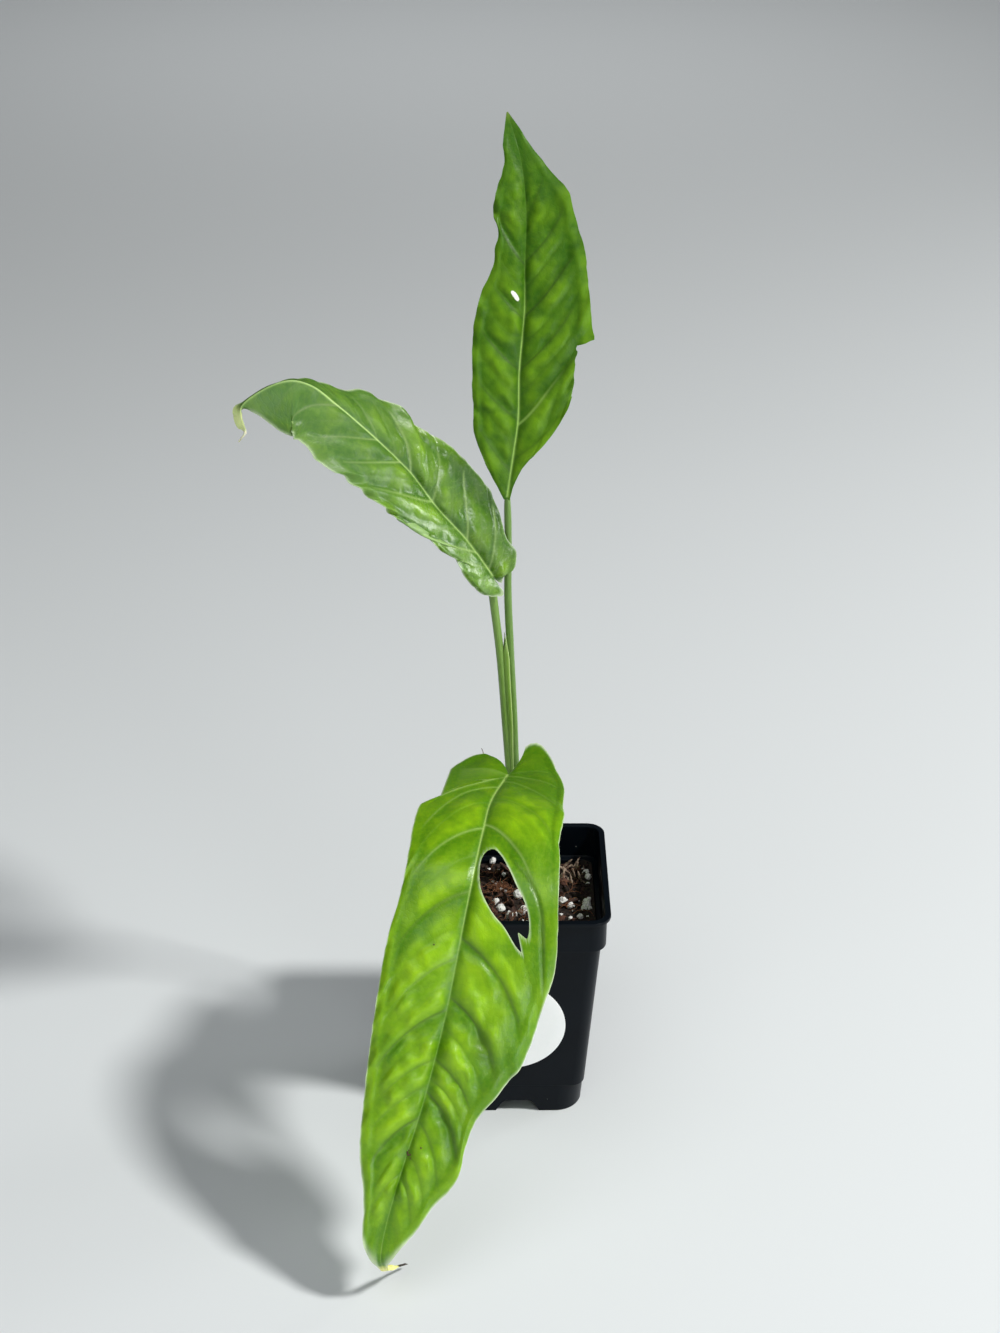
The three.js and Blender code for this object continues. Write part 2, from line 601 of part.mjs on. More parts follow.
const middleLeaf = new LeafBlade({
  rows: 32,
  veins: 8,
  bulge: 1,
  waves: 8,
  wave: 0.8,
  droop: 0.003,
  midrib: [
    [-10.7, 2, 256.7], [-21, -3, 274.7], [-33.4, -9, 292.7], [-42.7, -14, 308.8], [-53.2, -20, 323.3],
    [-60.4, -25, 332.8], [-70.5, -31, 344.6], [-78.2, -36, 352.5], [-85.8, -40.5, 355.5],
    [-95.2, -45.5, 353], [-101.8, -49, 347.6], [-102.9, -47.5, 339], [-105.6, -46, 335.2],
  ],
  facing: [[0, 0, -0.85, 0.5], [0.35, 0.2, -0.75, 0.6], [0.6, 0.3, -0.5, 0.8], [0.75, 0.3, -0.4, 0.9],
    [1, 0.3, -0.5, 0.8]],
  foldLeft: [[0, 0.1], [0.35, 0.1], [0.58, -0.15], [0.72, -1.4], [1, -1.6]],
  foldRight: [[0, 0.5], [0.15, 0.9], [0.3, 0.8], [0.45, 0.15], [0.6, -0.2], [0.75, -0.9], [1, -1.1]],
  left: {
    lobeBend: [-2, 3],
    outline: [
      [-4, 7], [0, 11.6], [5, 13.7], [11, 13.6], [18, 16], [25, 19], [33, 21.2], [45, 21.4], [56, 20.5],
      [64, 18.4], [72, 16.4], [82, 19], [90, 17.6], [99, 16.5], [105, 12.5], [112, 10], [120, 8], [130, 6.5],
      [138, 5], [145, 3.2], [152, 1.4], [158, 1], [166, 0.8],
    ],
  },
  right: {
    lobeBend: [-7, 1],
    outline: [
      [-10, 2], [-7, 4.4], [-3, 6.6], [6, 9.8], [17, 10.6], [26, 10.2], [37, 13.6], [52, 14], [60, 19.6],
      [67, 22.6], [80, 24], [90, 25], [97, 23.3], [101, 24], [109, 21.1], [117, 17.6], [126, 15],
      [134, 13.4], [141, 13], [146, 11], [150, 6.5], [153, 2], [158, 1], [166, 0.8],
    ],
  },
});

addPiece('blade_middle', middleLeaf.geometry(), middleGreen);

// Top leaf: the youngest, standing upright with its face to the front and a torn notch in its right margin

const topLeaf = new LeafBlade({
  rows: 34,
  veins: 8.5,
  bulge: 1,
  waves: 7,
  wave: 0.7,
  droop: 0.003,
  midrib: [
    [-5.1, 4, 291.2], [-2.9, 6, 306.5], [-0.7, 9, 323], [-0.3, 13, 341.1], [1.7, 19, 365.1],
    [1.8, 24, 381.4], [2.3, 31, 400.1], [0.1, 38, 419.8], [-5.2, 45, 436.2],
  ],
  facing: [[0, 0, -1, 0.3], [1, 0, -1, 0.5]],
  foldLeft: [[0, 0.15], [1, 0.15]],
  foldRight: [[0, 0.15], [1, 0.15]],
  left: {
    lobeBend: [-1, 0.4],
    outline: [
      [-1, 1.2], [5, 1.9], [14, 4.2], [24, 8.6], [34, 17], [40, 20.6], [54, 21.9], [61, 21.2], [65.5, 27.4],
      [77, 26], [87, 24.7], [99, 23.3], [112, 18.7], [120, 16.8], [128, 10.4], [138, 4.9], [148, 1.8],
      [152.5, 0.8],
    ],
  },
  right: {
    lobeBend: [-1, 0.4],
    outline: [
      [-1, 1.2], [4, 4.6], [14, 11.3], [26, 17.2], [43, 18.4], [57, 19.1], [70, 19.5], [82, 17.3],
      [93, 12.2], [98, 12], [105, 11], [114, 13], [124, 10.6], [133, 6.8], [141, 5.4], [148, 2.4],
      [152.5, 0.8],
    ],
  },
});

addPiece('blade_top', topLeaf.geometry(), topGreen);

// Origin: the middle of the whole plant's footprint, at the level of the pot's feet

const footprint = new THREE.Box3().setFromObject(plant, true);
const middleOfPlant = footprint.getCenter(new THREE.Vector3());
plant.position.set(-middleOfPlant.x, -middleOfPlant.y, -footprint.min.z);

export default plant;
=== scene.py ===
import math

import bmesh
import bpy
import numpy as np
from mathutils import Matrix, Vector, noise


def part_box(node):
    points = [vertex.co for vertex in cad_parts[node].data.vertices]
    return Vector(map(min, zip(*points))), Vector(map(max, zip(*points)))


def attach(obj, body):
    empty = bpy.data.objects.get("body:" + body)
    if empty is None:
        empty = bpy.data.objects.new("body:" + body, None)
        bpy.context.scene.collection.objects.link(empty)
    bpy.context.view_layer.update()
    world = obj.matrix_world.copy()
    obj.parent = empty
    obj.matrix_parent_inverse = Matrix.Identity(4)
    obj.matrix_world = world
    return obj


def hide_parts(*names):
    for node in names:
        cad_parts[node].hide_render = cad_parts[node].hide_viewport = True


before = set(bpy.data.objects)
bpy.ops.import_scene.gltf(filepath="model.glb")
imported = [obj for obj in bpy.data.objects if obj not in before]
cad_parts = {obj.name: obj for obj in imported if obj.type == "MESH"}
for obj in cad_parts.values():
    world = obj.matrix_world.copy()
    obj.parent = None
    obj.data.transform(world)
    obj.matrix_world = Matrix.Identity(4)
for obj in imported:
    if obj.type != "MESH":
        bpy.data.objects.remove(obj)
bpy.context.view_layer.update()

# ---------------------------------------------------------------- nursery pot
# A deep square nursery pot of thin black plastic, blow-shaped in one go: flat rolled lip, banded rim,
# tapered walls, four corner feet with arches between them, and drain holes in the arches' crowns.
# Sizes are millimetres about the middle of the pot's foot; place() puts them in the shared frame.

pot_low, pot_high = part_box("pot")
pot_foot = np.array([(pot_low.x + pot_high.x) / 2, (pot_low.y + pot_high.y) / 2, pot_low.z])

MM = 0.001
POT_HEIGHT, POT_LIP, POT_BAND, POT_SHOULDER = 112.0, 40.0, 38.4, 95.5
WALL_TOP, WALL_FOOT, WALL_THICK = 36.2, 29.3, 1.4
FOOT_LEDGE, FOOT_CORNER, WALL_CORNER = 15.5, 12.0, 6.0
ARCH_FOOT, ARCH_CROWN, ARCH_HEIGHT, ARCH_CORNER, ARCH_BENDS = 10.0, 6.5, 6.5, 2.5, 8
DRAIN_RADIUS, DRAIN_OFFSET, DRAIN_FACETS = 3.0, 17.0, 32
CORNER_FACETS = 12


def place(points):
    return np.asarray(points, dtype=float) * MM + pot_foot


def wall_half(z):
    return WALL_FOOT + (WALL_TOP - WALL_FOOT) * z / POT_SHOULDER


def shaped(name, points, faces, material=None, edges=()):
    """A new piece from points in millimetres about the pot's foot."""
    mesh = bpy.data.meshes.new(name)
    mesh.from_pydata([tuple(p) for p in place(points)], list(edges), [list(f) for f in faces])
    if material:
        mesh.materials.append(material)
    mesh.validate()
    piece = bpy.data.objects.new(name, mesh)
    bpy.context.scene.collection.objects.link(piece)
    return piece


def settle(piece):
    """Turns the piece's modifiers into plain mesh."""
    settled = bpy.data.meshes.new_from_object(piece.evaluated_get(bpy.context.evaluated_depsgraph_get()))
    piece.modifiers.clear()
    piece.data = settled
    piece.data.name = piece.name
    return piece


def shade(piece, crease_degrees):
    piece.data.polygons.foreach_set("use_smooth", [True] * len(piece.data.polygons))
    piece.data.set_sharp_from_angle(angle=math.radians(crease_degrees))


def skin_over(rings):
    """Faces over rings of equally many points, listed bottom to top, anticlockwise seen from the top."""
    count = len(rings[0])
    faces = [list(range(count))[::-1]]
    for r in range(len(rings) - 1):
        for k in range(count):
            a, b = r * count + k, r * count + (k + 1) % count
            faces.append([a, b, b + count, a + count])
    faces.append([(len(rings) - 1) * count + k for k in range(count)])
    return np.concatenate(rings), faces


def square_ring(z, half, corner):
    ring = []
    for quarter, (sx, sy) in enumerate([(1, 1), (-1, 1), (-1, -1), (1, -1)]):
        for k in range(CORNER_FACETS + 1):
            turn = (quarter + k / CORNER_FACETS) * math.pi / 2
            ring.append((sx * (half - corner) + corner * math.cos(turn),
                         sy * (half - corner) + corner * math.sin(turn), z))
    return np.array(ring)


def arch_tunnel(grow, across):
    """A round-topped tunnel between the feet, right through the pot, and larger all round by what it grows."""
    height = ARCH_HEIGHT + grow

    def half(z):
        return ARCH_FOOT + (ARCH_CROWN - ARCH_FOOT) * z / ARCH_HEIGHT + grow

    start = np.array([half(height - ARCH_CORNER), height - ARCH_CORNER])
    bend = np.array([half(height), height])
    end = np.array([half(height) - ARCH_CORNER, height])
    side = [np.array([half(-1), -1.0])]
    for s in np.arange(ARCH_BENDS + 1) / ARCH_BENDS:
        side.append((1 - s) ** 2 * start + 2 * s * (1 - s) * bend + s * s * end)
    outline = side + [np.array([-x, z]) for x, z in side[::-1]]
    reach = POT_LIP + 5
    rings = [np.array([(-y, x, z) if across else (x, y, z) for x, z in outline]) for y in (reach, -reach)]
    return skin_over(rings)


def carve(body, *cutters):
    for cutter in cutters:
        cut = body.modifiers.new("cut", "BOOLEAN")
        cut.operation, cut.solver, cut.object = "DIFFERENCE", "EXACT", cutter
    settle(body)
    for cutter in cutters:
        bpy.data.objects.remove(cutter)
    return body


def wire(tree, kind, inputs=(), **settings):
    """A new node with its settings made. Each input is set to its value, or linked where that is a socket."""
    made = tree.nodes.new(kind)
    for name, value in settings.items():
        setattr(made, name, value)
    for key, value in dict(inputs).items():
        socket = made.inputs[key]
        if isinstance(value, bpy.types.NodeSocket):
            tree.links.new(value, socket)
        else:
            socket.default_value = (*value, 1) if socket.type == "RGBA" else value
    return made


def new_skin(name, **sockets):
    """A new material with its tree and its surface shader, whose sockets are set here."""
    material = bpy.data.materials.new(name)
    material.use_nodes = True
    skin = material.node_tree.nodes["Principled BSDF"]
    for key, value in sockets.items():
        skin.inputs[key.replace("_", " ")].default_value = value
    return material, material.node_tree, skin


def lead(tree, skin, **sources):
    for key, source in sources.items():
        tree.links.new(source, skin.inputs[key.replace("_", " ")])


def on_piece(tree):
    return wire(tree, "ShaderNodeTexCoord").outputs["Object"]


def clouded(tree, where, scale, detail=2.0, roughness=0.5):
    return wire(tree, "ShaderNodeTexNoise",
                {"Vector": where, "Scale": scale, "Detail": detail, "Roughness": roughness})


def ranged(tree, source, low_in, high_in, low_out=0.0, high_out=1.0):
    """The source, stretched from its low and high to the two given out, and held between them."""
    return wire(tree, "ShaderNodeMapRange", {"Value": source, "From Min": low_in, "From Max": high_in,
                                             "To Min": low_out, "To Max": high_out}).outputs["Result"]


def mixed(tree, share, first, second):
    """The colour that lies a share of the way from the first to the second."""
    return wire(tree, "ShaderNodeMix", {0: share, 6: first, 7: second}, data_type="RGBA").outputs[2]


def two_tones(tree, source, low, dark, high, light):
    ramp = wire(tree, "ShaderNodeValToRGB", {"Fac": source})
    for stop, position, colour in zip(ramp.color_ramp.elements, (low, high), (dark, light)):
        stop.position, stop.color = position, (*colour, 1)
    return ramp.outputs["Color"]


def embossed(tree, height, strength, distance, sunken=False):
    return wire(tree, "ShaderNodeBump", {"Strength": strength, "Distance": distance, "Height": height},
                invert=sunken).outputs["Normal"]


def black_plastic():
    """Black plastic, cloudy in tone and gloss, with a fine grain and a little dust."""
    material, tree, skin = new_skin("pot plastic", Specular_IOR_Level=0.12)
    where = on_piece(tree)
    clouds = clouded(tree, where, 38, 5).outputs["Fac"]
    tone = two_tones(tree, clouds, 0.3, (0.001, 0.0026, 0.005), 0.75, (0.0024, 0.0048, 0.0082))
    dust = wire(tree, "ShaderNodeTexVoronoi", {"Vector": where, "Scale": 130}).outputs["Distance"]
    speck = wire(tree, "ShaderNodeMath", {0: dust, 1: 0.035}, operation="LESS_THAN").outputs[0]
    lead(tree, skin, Base_Color=mixed(tree, speck, tone, (0.2, 0.2, 0.19)),
         Roughness=ranged(tree, clouds, 0.0, 1.0, 0.27, 0.4),
         Normal=embossed(tree, clouded(tree, where, 1500).outputs["Fac"], 0.12, 0.0002))
    return material


# Each row of the pot's outside and inside: height, half width, corner radius
outside = [(0, wall_half(0) - 0.4, 11.6), (0.15, wall_half(0) - 0.12, 11.9), (0.45, wall_half(0), 12),
           (15.2, wall_half(15.2), 12), (15.45, wall_half(15.2) - 0.1, 11.8),
           (15.55, wall_half(15.5) - 0.08, 6.2), (15.85, wall_half(15.8), WALL_CORNER),
           (95.2, wall_half(95.2), WALL_CORNER), (95.4, 36.5, 6.1), (95.55, 37.7, 6.8), (95.75, 38.1, 6.95),
           (96.3, 38.25, 7), (109.7, POT_BAND, 7), (110.0, 38.5, 7.1), (110.12, 38.8, 7.2), (110.17, 39.6, 7.7),
           (110.3, 39.9, 7.95), (110.6, POT_LIP, 8), (111.55, POT_LIP, 8), (111.85, 39.9, 7.95),
           (POT_HEIGHT, 39.65, 7.8)]
inside = [(WALL_THICK, wall_half(0) - WALL_THICK, FOOT_CORNER - WALL_THICK),
          (FOOT_LEDGE, wall_half(FOOT_LEDGE) - WALL_THICK, FOOT_CORNER - WALL_THICK),
          (21.5, wall_half(21.5) - WALL_THICK, WALL_CORNER - WALL_THICK),
          (94.7, 36.1 - WALL_THICK, 4.7), (95.1, 35.0, 4.8), (95.5, 36.5, 5.3), (95.9, 36.95, 5.6),
          (111.2, 37.1, 5.6), (111.7, 37.25, 5.7), (POT_HEIGHT, 37.55, 5.9), (POT_HEIGHT + 1, 37.6, 5.9)]
pot = shaped("nursery_pot", *skin_over([square_ring(*ring) for ring in outside]))
room = carve(shaped("room", *skin_over([square_ring(*ring) for ring in inside])),
             *[shaped("tunnel", *arch_tunnel(WALL_THICK, across)) for across in (False, True)])
drains = []
for spot in ((0, 0), (DRAIN_OFFSET, 0), (-DRAIN_OFFSET, 0), (0, DRAIN_OFFSET), (0, -DRAIN_OFFSET)):
    turns = np.arange(DRAIN_FACETS) * 2 * math.pi / DRAIN_FACETS
    drill = [np.stack([spot[0] + DRAIN_RADIUS * np.cos(turns), spot[1] + DRAIN_RADIUS * np.sin(turns),
                       0 * turns + z], -1) for z in (4, 10)]
    drains.append(shaped("drain", *skin_over(drill)))
carve(pot, room, *[shaped("arch", *arch_tunnel(0, across)) for across in (False, True)], *drains)
shade(pot, 32)
pot.modifiers.new("even shading", "WEIGHTED_NORMAL").keep_sharp = True
settle(pot)
pot.data.materials.clear()
pot.data.materials.append(black_plastic())
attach(pot, "root")
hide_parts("pot")

# ---------------------------------------------------------------- label
# A round white sticker of coated paper, a 2 inch disc cut from a roll. It is stuck flat on the sloping front
# wall, and is left plain.

LABEL_RADIUS, LABEL_THICK, LABEL_X, LABEL_Z, LABEL_FACETS = 25.4, 0.22, -4.3, 52.0, 128


def coated_paper():
    material, tree, skin = new_skin("label paper", Roughness=0.42)
    fibre = clouded(tree, on_piece(tree), 420, 6).outputs["Fac"]
    lead(tree, skin, Base_Color=two_tones(tree, fibre, 0, (0.9, 0.915, 0.92), 1, (0.95, 0.955, 0.955)),
         Normal=embossed(tree, fibre, 0.08, 0.0001))
    return material


wall_slope = math.atan((WALL_TOP - WALL_FOOT) / POT_SHOULDER)
label_out = np.array([0, -math.cos(wall_slope), -math.sin(wall_slope)])
label_up = np.array([0, -math.sin(wall_slope), math.cos(wall_slope)])
label_right = np.array([1, 0, 0])
label_middle = np.array([LABEL_X, -wall_half(LABEL_Z), LABEL_Z])
label_rings = []
for height, radius in ((0.02, LABEL_RADIUS), (0.14, LABEL_RADIUS), (0.2, LABEL_RADIUS - 0.06),
                       (LABEL_THICK, LABEL_RADIUS - 0.2), (LABEL_THICK, 20), (LABEL_THICK, 8)):
    label_rings.append(np.array([
        label_middle + label_out * height + radius * (math.cos(turn) * label_right + math.sin(turn) * label_up)
        for turn in np.arange(LABEL_FACETS) * 2 * math.pi / LABEL_FACETS]))
label = shaped("label_disc", *skin_over(label_rings), coated_paper())
shade(label, 40)
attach(label, "root")
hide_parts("label")

# ---------------------------------------------------------------- potting mix
# Loose dark mix of peat, bark, coir and perlite, filled to 2 cm under the lip. A rough bed fills the pot;
# crumbs, perlite lumps, bark chips and coir fibres lie on it, each scattered by a node tree.

MIX_LEVEL, MIX_MOUND = 92.0, 1.6
MIX_HALF, MIX_CORNER = 34.45, 4.4
BED_SPOKES, BED_RINGS = 240, 84
STEM_X, STEM_Y, STEM_CLEAR = 3.0, 18.0, 3.2


def rounded_square_reach(turn, half, corner):
    """How far the rounded square reaches from its middle in a direction."""
    c, s = np.abs(np.cos(turn)), np.abs(np.sin(turn))
    flat = half / np.maximum(c, s)
    middle = half - corner
    along = middle * (c + s)
    round_reach = along + np.sqrt(np.maximum(along ** 2 - 2 * middle ** 2 + corner ** 2, 0))
    in_corner = (flat * c > middle) & (flat * s > middle)
    return np.where(in_corner, round_reach, flat)


def mix_height(x, y):
    """The mix's top: a low mound, a little higher to the back and to the right, rough at two scales."""
    mound = MIX_MOUND * (1 - (x * x + y * y) / POT_LIP ** 2)
    banked = 0.05 * max(y - 18, 0) + 0.2 * max(x - 18, 0)
    rough = noise.fractal(Vector((x / 9, y / 9, 3.1)), 1.0, 2.0, 3) * 1.1
    grit = noise.noise(Vector((x / 1.9, y / 1.9, 7.7))) * 0.45
    return MIX_LEVEL + mound + banked + rough + grit


def mottled(name, dark, light, size, roughness, relief, middle=0.5):
    """An earthy material: two colours in patches of a size in metres, with relief of the same grain."""
    material, tree, skin = new_skin(name, Roughness=roughness)
    patches = clouded(tree, on_piece(tree), 1 / size, 8, 0.65).outputs["Fac"]
    lead(tree, skin, Base_Color=two_tones(tree, patches, middle - 0.14, dark, middle + 0.14, light),
         Normal=embossed(tree, patches, 0.7, relief))
    return material


peat = mottled("peat", (0.003, 0.0018, 0.0014), (0.03, 0.016, 0.01), 0.0035, 0.9, 0.0006)
bed_turns = np.linspace(0, 2 * np.pi, BED_SPOKES, endpoint=False)
bed_reach = rounded_square_reach(bed_turns, MIX_HALF, MIX_CORNER)
bed_points = [(0.0, 0.0, mix_height(0, 0))]
for ring in range(1, BED_RINGS + 1):
    for turn, reach in zip(bed_turns, bed_reach):
        x, y = reach * ring / BED_RINGS * math.cos(turn), reach * ring / BED_RINGS * math.sin(turn)
        bed_points.append((x, y, mix_height(x, y)))
bed_sides = ((80.0, 33.4, 4.4), (22.0, 29.3, 4.6), (15.6, 28.7, 10.6), (8.3, 28.2, 10.6))
for z, half, corner in bed_sides:
    bed_points.extend((reach * math.cos(turn), reach * math.sin(turn), z)
                      for turn, reach in zip(bed_turns, rounded_square_reach(bed_turns, half, corner)))
bed_faces = [[0, 1 + k, 1 + (k + 1) % BED_SPOKES] for k in range(BED_SPOKES)]
last_ring = BED_RINGS + len(bed_sides) - 1
for ring in range(last_ring):
    for k in range(BED_SPOKES):
        a, b = 1 + ring * BED_SPOKES + k, 1 + ring * BED_SPOKES + (k + 1) % BED_SPOKES
        bed_faces.append([a, a + BED_SPOKES, b + BED_SPOKES, b])
bed_faces.append([1 + last_ring * BED_SPOKES + k for k in range(BED_SPOKES)][::-1])
mix_bed = shaped("potting_mix_bed", bed_points, bed_faces, peat)
shade(mix_bed, 80)
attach(mix_bed, "root")
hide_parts("potting_mix")


def new_tree(name, inputs):
    """A new node tree with named inputs: the tree, the sockets that it is given and its result node."""
    tree = bpy.data.node_groups.new(name, "GeometryNodeTree")
    tree.is_modifier = True
    tree.interface.new_socket(name="Geometry", in_out="INPUT", socket_type="NodeSocketGeometry")
    for input_name, kind, value in inputs:
        socket = tree.interface.new_socket(name=input_name, in_out="INPUT", socket_type="NodeSocket" + kind)
        if value is not None:
            socket.default_value = value
    tree.interface.new_socket(name="Geometry", in_out="OUTPUT", socket_type="NodeSocketGeometry")
    return tree, tree.nodes.new("NodeGroupInput").outputs, tree.nodes.new("NodeGroupOutput")


def grow_from(piece, tree, **values):
    """Runs a node tree on a piece with its named inputs set, and keeps the result as plain mesh."""
    modifier = piece.modifiers.new(tree.name, "NODES")
    modifier.node_group = tree
    for item in tree.interface.items_tree:
        if item.item_type == "SOCKET" and item.in_out == "INPUT" and item.name.replace(" ", "_") in values:
            modifier[item.identifier] = values[item.name.replace(" ", "_")]
    piece.update_tag()
    return settle(piece)


def at_points(tree, name):
    return wire(tree, "GeometryNodeInputNamedAttribute", {"Name": name}, data_type="FLOAT").outputs["Attribute"]


def strewn_copies(tree, given, shape, least_turn, most_turn, scale):
    """Copies of a shape on the given points, each turned at random by the seed."""
    turn = wire(tree, "FunctionNodeRandomValue", {0: least_turn, 1: most_turn, "Seed": given["Seed"]},
                data_type="FLOAT_VECTOR")
    euler = wire(tree, "FunctionNodeEulerToRotation", {0: turn.outputs[0]})
    copies = wire(tree, "GeometryNodeInstanceOnPoints", {
        "Points": given["Geometry"], "Instance": shape, "Rotation": euler.outputs[0], "Scale": scale})
    return wire(tree, "GeometryNodeRealizeInstances", {"Geometry": copies.outputs[0]}).outputs[0]


def shaken(tree, geometry, scale, detail, amount):
    """The geometry with every point moved by noise, up to half the amount each way."""
    where = wire(tree, "GeometryNodeInputPosition").outputs["Position"]
    rock = clouded(tree, where, scale, detail).outputs["Color"]
    level = wire(tree, "ShaderNodeVectorMath", {0: rock, 1: (0.5, 0.5, 0.5)}, operation="SUBTRACT").outputs[0]
    push = wire(tree, "ShaderNodeVectorMath", {0: level, "Scale": amount}, operation="SCALE").outputs[0]
    return wire(tree, "GeometryNodeSetPosition", {"Geometry": geometry, "Offset": push}).outputs[0]


def coated(tree, given, result, geometry, smooth=True):
    """Ends a tree: the geometry gets its material and goes out."""
    if smooth:
        geometry = wire(tree, "GeometryNodeSetShadeSmooth", {"Geometry": geometry}).outputs[0]
    coat = wire(tree, "GeometryNodeSetMaterial", {"Geometry": geometry, "Material": given["Material"]})
    tree.links.new(coat.outputs[0], result.inputs["Geometry"])
    return tree


def lump_tree():
    """Irregular lumps on points: each point's size comes from its attribute, its turn from the seed."""
    tree, given, result = new_tree("lumps on the mix", (
        ("Stretch", "Vector", (1, 1, 1)), ("Fineness", "Int", 2), ("Dents", "Float", 0.001),
        ("Dent Size", "Float", 0.003), ("Seed", "Int", 1), ("Material", "Material", None)))
    ball = wire(tree, "GeometryNodeMeshIcoSphere", {"Radius": 1.0, "Subdivisions": given["Fineness"]})
    full_turn = (6.283, 6.283, 6.283)
    size = wire(tree, "ShaderNodeVectorMath", {0: given["Stretch"], "Scale": at_points(tree, "size")},
                operation="SCALE")
    lumps = strewn_copies(tree, given, ball.outputs["Mesh"], (0, 0, 0), full_turn, size.outputs[0])
    fine = wire(tree, "ShaderNodeMath", {0: 1.0, 1: given["Dent Size"]}, operation="DIVIDE").outputs[0]
    return coated(tree, given, result, shaken(tree, lumps, fine, 3, given["Dents"]))


def mark(piece, name, values):
    """Keeps a number at each of the piece's points, which its node tree or its material reads."""
    piece.data.attributes.new(name, "FLOAT", "POINT").data.foreach_set("value", values)


def seeds_on_mix(name, spots):
    """Points on the mix from (x, y, sunk share, size) rows, with the size kept in metres."""
    piece = shaped(name, [(x, y, mix_height(x, y) + size * (1 - 2 * sunk)) for x, y, sunk, size in spots], [])
    mark(piece, "size", [size * MM for _, _, _, size in spots])
    return piece


def strewn(seed, count, small, large, sunk, skew=2.0, reach=32.5):
    """Rows for seeds_on_mix, strewn over the mix inside the wall and clear of the stem."""
    rng = np.random.default_rng(seed)
    rows = []
    while len(rows) < count:
        x, y = rng.uniform(-reach, reach, 2)
        size = small + (large - small) * rng.random() ** skew
        edge = rounded_square_reach(np.array([math.atan2(y, x)]), MIX_HALF, MIX_CORNER)[0]
        if math.hypot(x, y) < edge - 1.2 * size and math.hypot(x - STEM_X, y - STEM_Y) > STEM_CLEAR + size:
            rows.append((x, y, sunk * rng.uniform(0.7, 1.2), size))
    return rows


# Lumps of perlite that show in the leaf's window and to its right: x, y, sunk share, radius
perlite_seen = [
    (-11.3, 32.6, -0.4, 1.6), (-13.1, 29.2, 0.5, 0.9), (-6.2, 24.5, 0.35, 1.1), (-11.2, 19.6, 0.35, 0.8),
    (-9.4, 17.2, 0.35, 1.15), (0.4, 6.2, 0.25, 2.6), (-9.8, 2.1, 0.3, 1.8), (-7.6, -3.4, 0.3, 2.3),
    (-3.5, -8.7, 0.3, 2.3), (2.6, -6.4, 0.2, 2.6), (20.4, 1.2, 0.25, 2.3), (23.4, -1.6, 0.25, 1.9),
    (30.9, -2.6, 0.2, 2.4), (29.6, -5.4, 0.25, 1.6), (31.9, 1.6, 0.4, 1.3), (32.2, -5.2, 0.4, 1.1),
    (31.4, 22.6, 0.2, 1.8), (32.2, 19.0, 0.2, 1.7), (30.2, 25.2, 0.3, 1.4), (19.2, -8.2, 0.35, 1.0),
    (18.9, -12.4, 0.4, 0.8), (26.2, 4.4, 0.4, 0.6), (27.4, 1.8, 0.4, 0.7), (31.0, -11.0, 0.45, 1.0),
    (-16.0, -16.0, 0.35, 2.2), (-24.0, 8.0, 0.35, 2.6),
]
bark_seen = [(-2.6, -1.8, 0.1, 3.0), (17.0, 20.0, 0.2, 3.4), (21.5, 15.5, 0.2, 3.2)]
splinters_seen = [(18 + 1.15 * k % 13, 13.5 + 3.7 * k % 15, 0.12 - 0.02 * (k % 5), 1.9 + 0.45 * (k % 5))
                  for k in range(22)]
perlite_white = mottled("perlite", (0.5, 0.48, 0.45), (0.95, 0.95, 0.93), 0.0016, 0.7, 0.0004, 0.38)
bark_brown = mottled("bark", (0.02, 0.008, 0.005), (0.11, 0.045, 0.028), 0.003, 0.8, 0.0005)
peat_crumb = mottled("peat crumb", (0.004, 0.0022, 0.0018), (0.045, 0.024, 0.016), 0.002, 0.88, 0.0004)
splinter_tan = mottled("splinter", (0.1, 0.055, 0.035), (0.42, 0.32, 0.24), 0.0015, 0.8, 0.0003)
lumps = lump_tree()
loose = []
for name, spots, stretch, fineness, dents, dent_size, seed, material in (
        ("perlite", perlite_seen + strewn(5, 60, 0.35, 1.5, 0.4),
         (1.0, 0.8, 0.9), 4, 0.0017, 0.0012, 4, perlite_white),
        ("bark_chips", bark_seen + strewn(9, 90, 1.2, 4.2, 0.3, 1.4),
         (1.0, 0.5, 0.2), 3, 0.0016, 0.0022, 8, bark_brown),
        ("wood_splinters", splinters_seen, (1.0, 0.2, 0.14), 3, 0.0011, 0.0016, 14, splinter_tan),
        ("peat_crumbs", strewn(13, 1500, 0.35, 1.5, 0.35), (1.0, 0.8, 0.75), 2, 0.0012, 0.0009, 3, peat_crumb)):
    loose.append(grow_from(seeds_on_mix(name, spots), lumps, Stretch=stretch, Fineness=fineness, Dents=dents,
                           Dent_Size=dent_size, Seed=seed, Material=material))


def fibre_tree():
    """Thin bent fibres on points, each wriggled by noise."""
    tree, given, result = new_tree("coir fibres", (
        ("Thickness", "Float", 0.00012), ("Wriggle", "Float", 0.001), ("Seed", "Int", 1),
        ("Material", "Material", None)))
    strand = wire(tree, "GeometryNodeCurveQuadraticBezier", {
        "Resolution": 12, "Start": (-1, 0, -0.06), "Middle": (0, 0.7, 0.28), "End": (1, 0, -0.06)})
    strands = strewn_copies(tree, given, strand.outputs[0], (-0.3, -0.22, 0), (0.3, 0.22, 6.283),
                            at_points(tree, "size"))
    section = wire(tree, "GeometryNodeCurvePrimitiveCircle", {"Resolution": 4, "Radius": given["Thickness"]})
    tube = wire(tree, "GeometryNodeCurveToMesh", {
        "Curve": shaken(tree, strands, 320, 2, given["Wriggle"]), "Profile Curve": section.outputs[0],
        "Fill Caps": True})
    return coated(tree, given, result, tube.outputs[0], smooth=False)


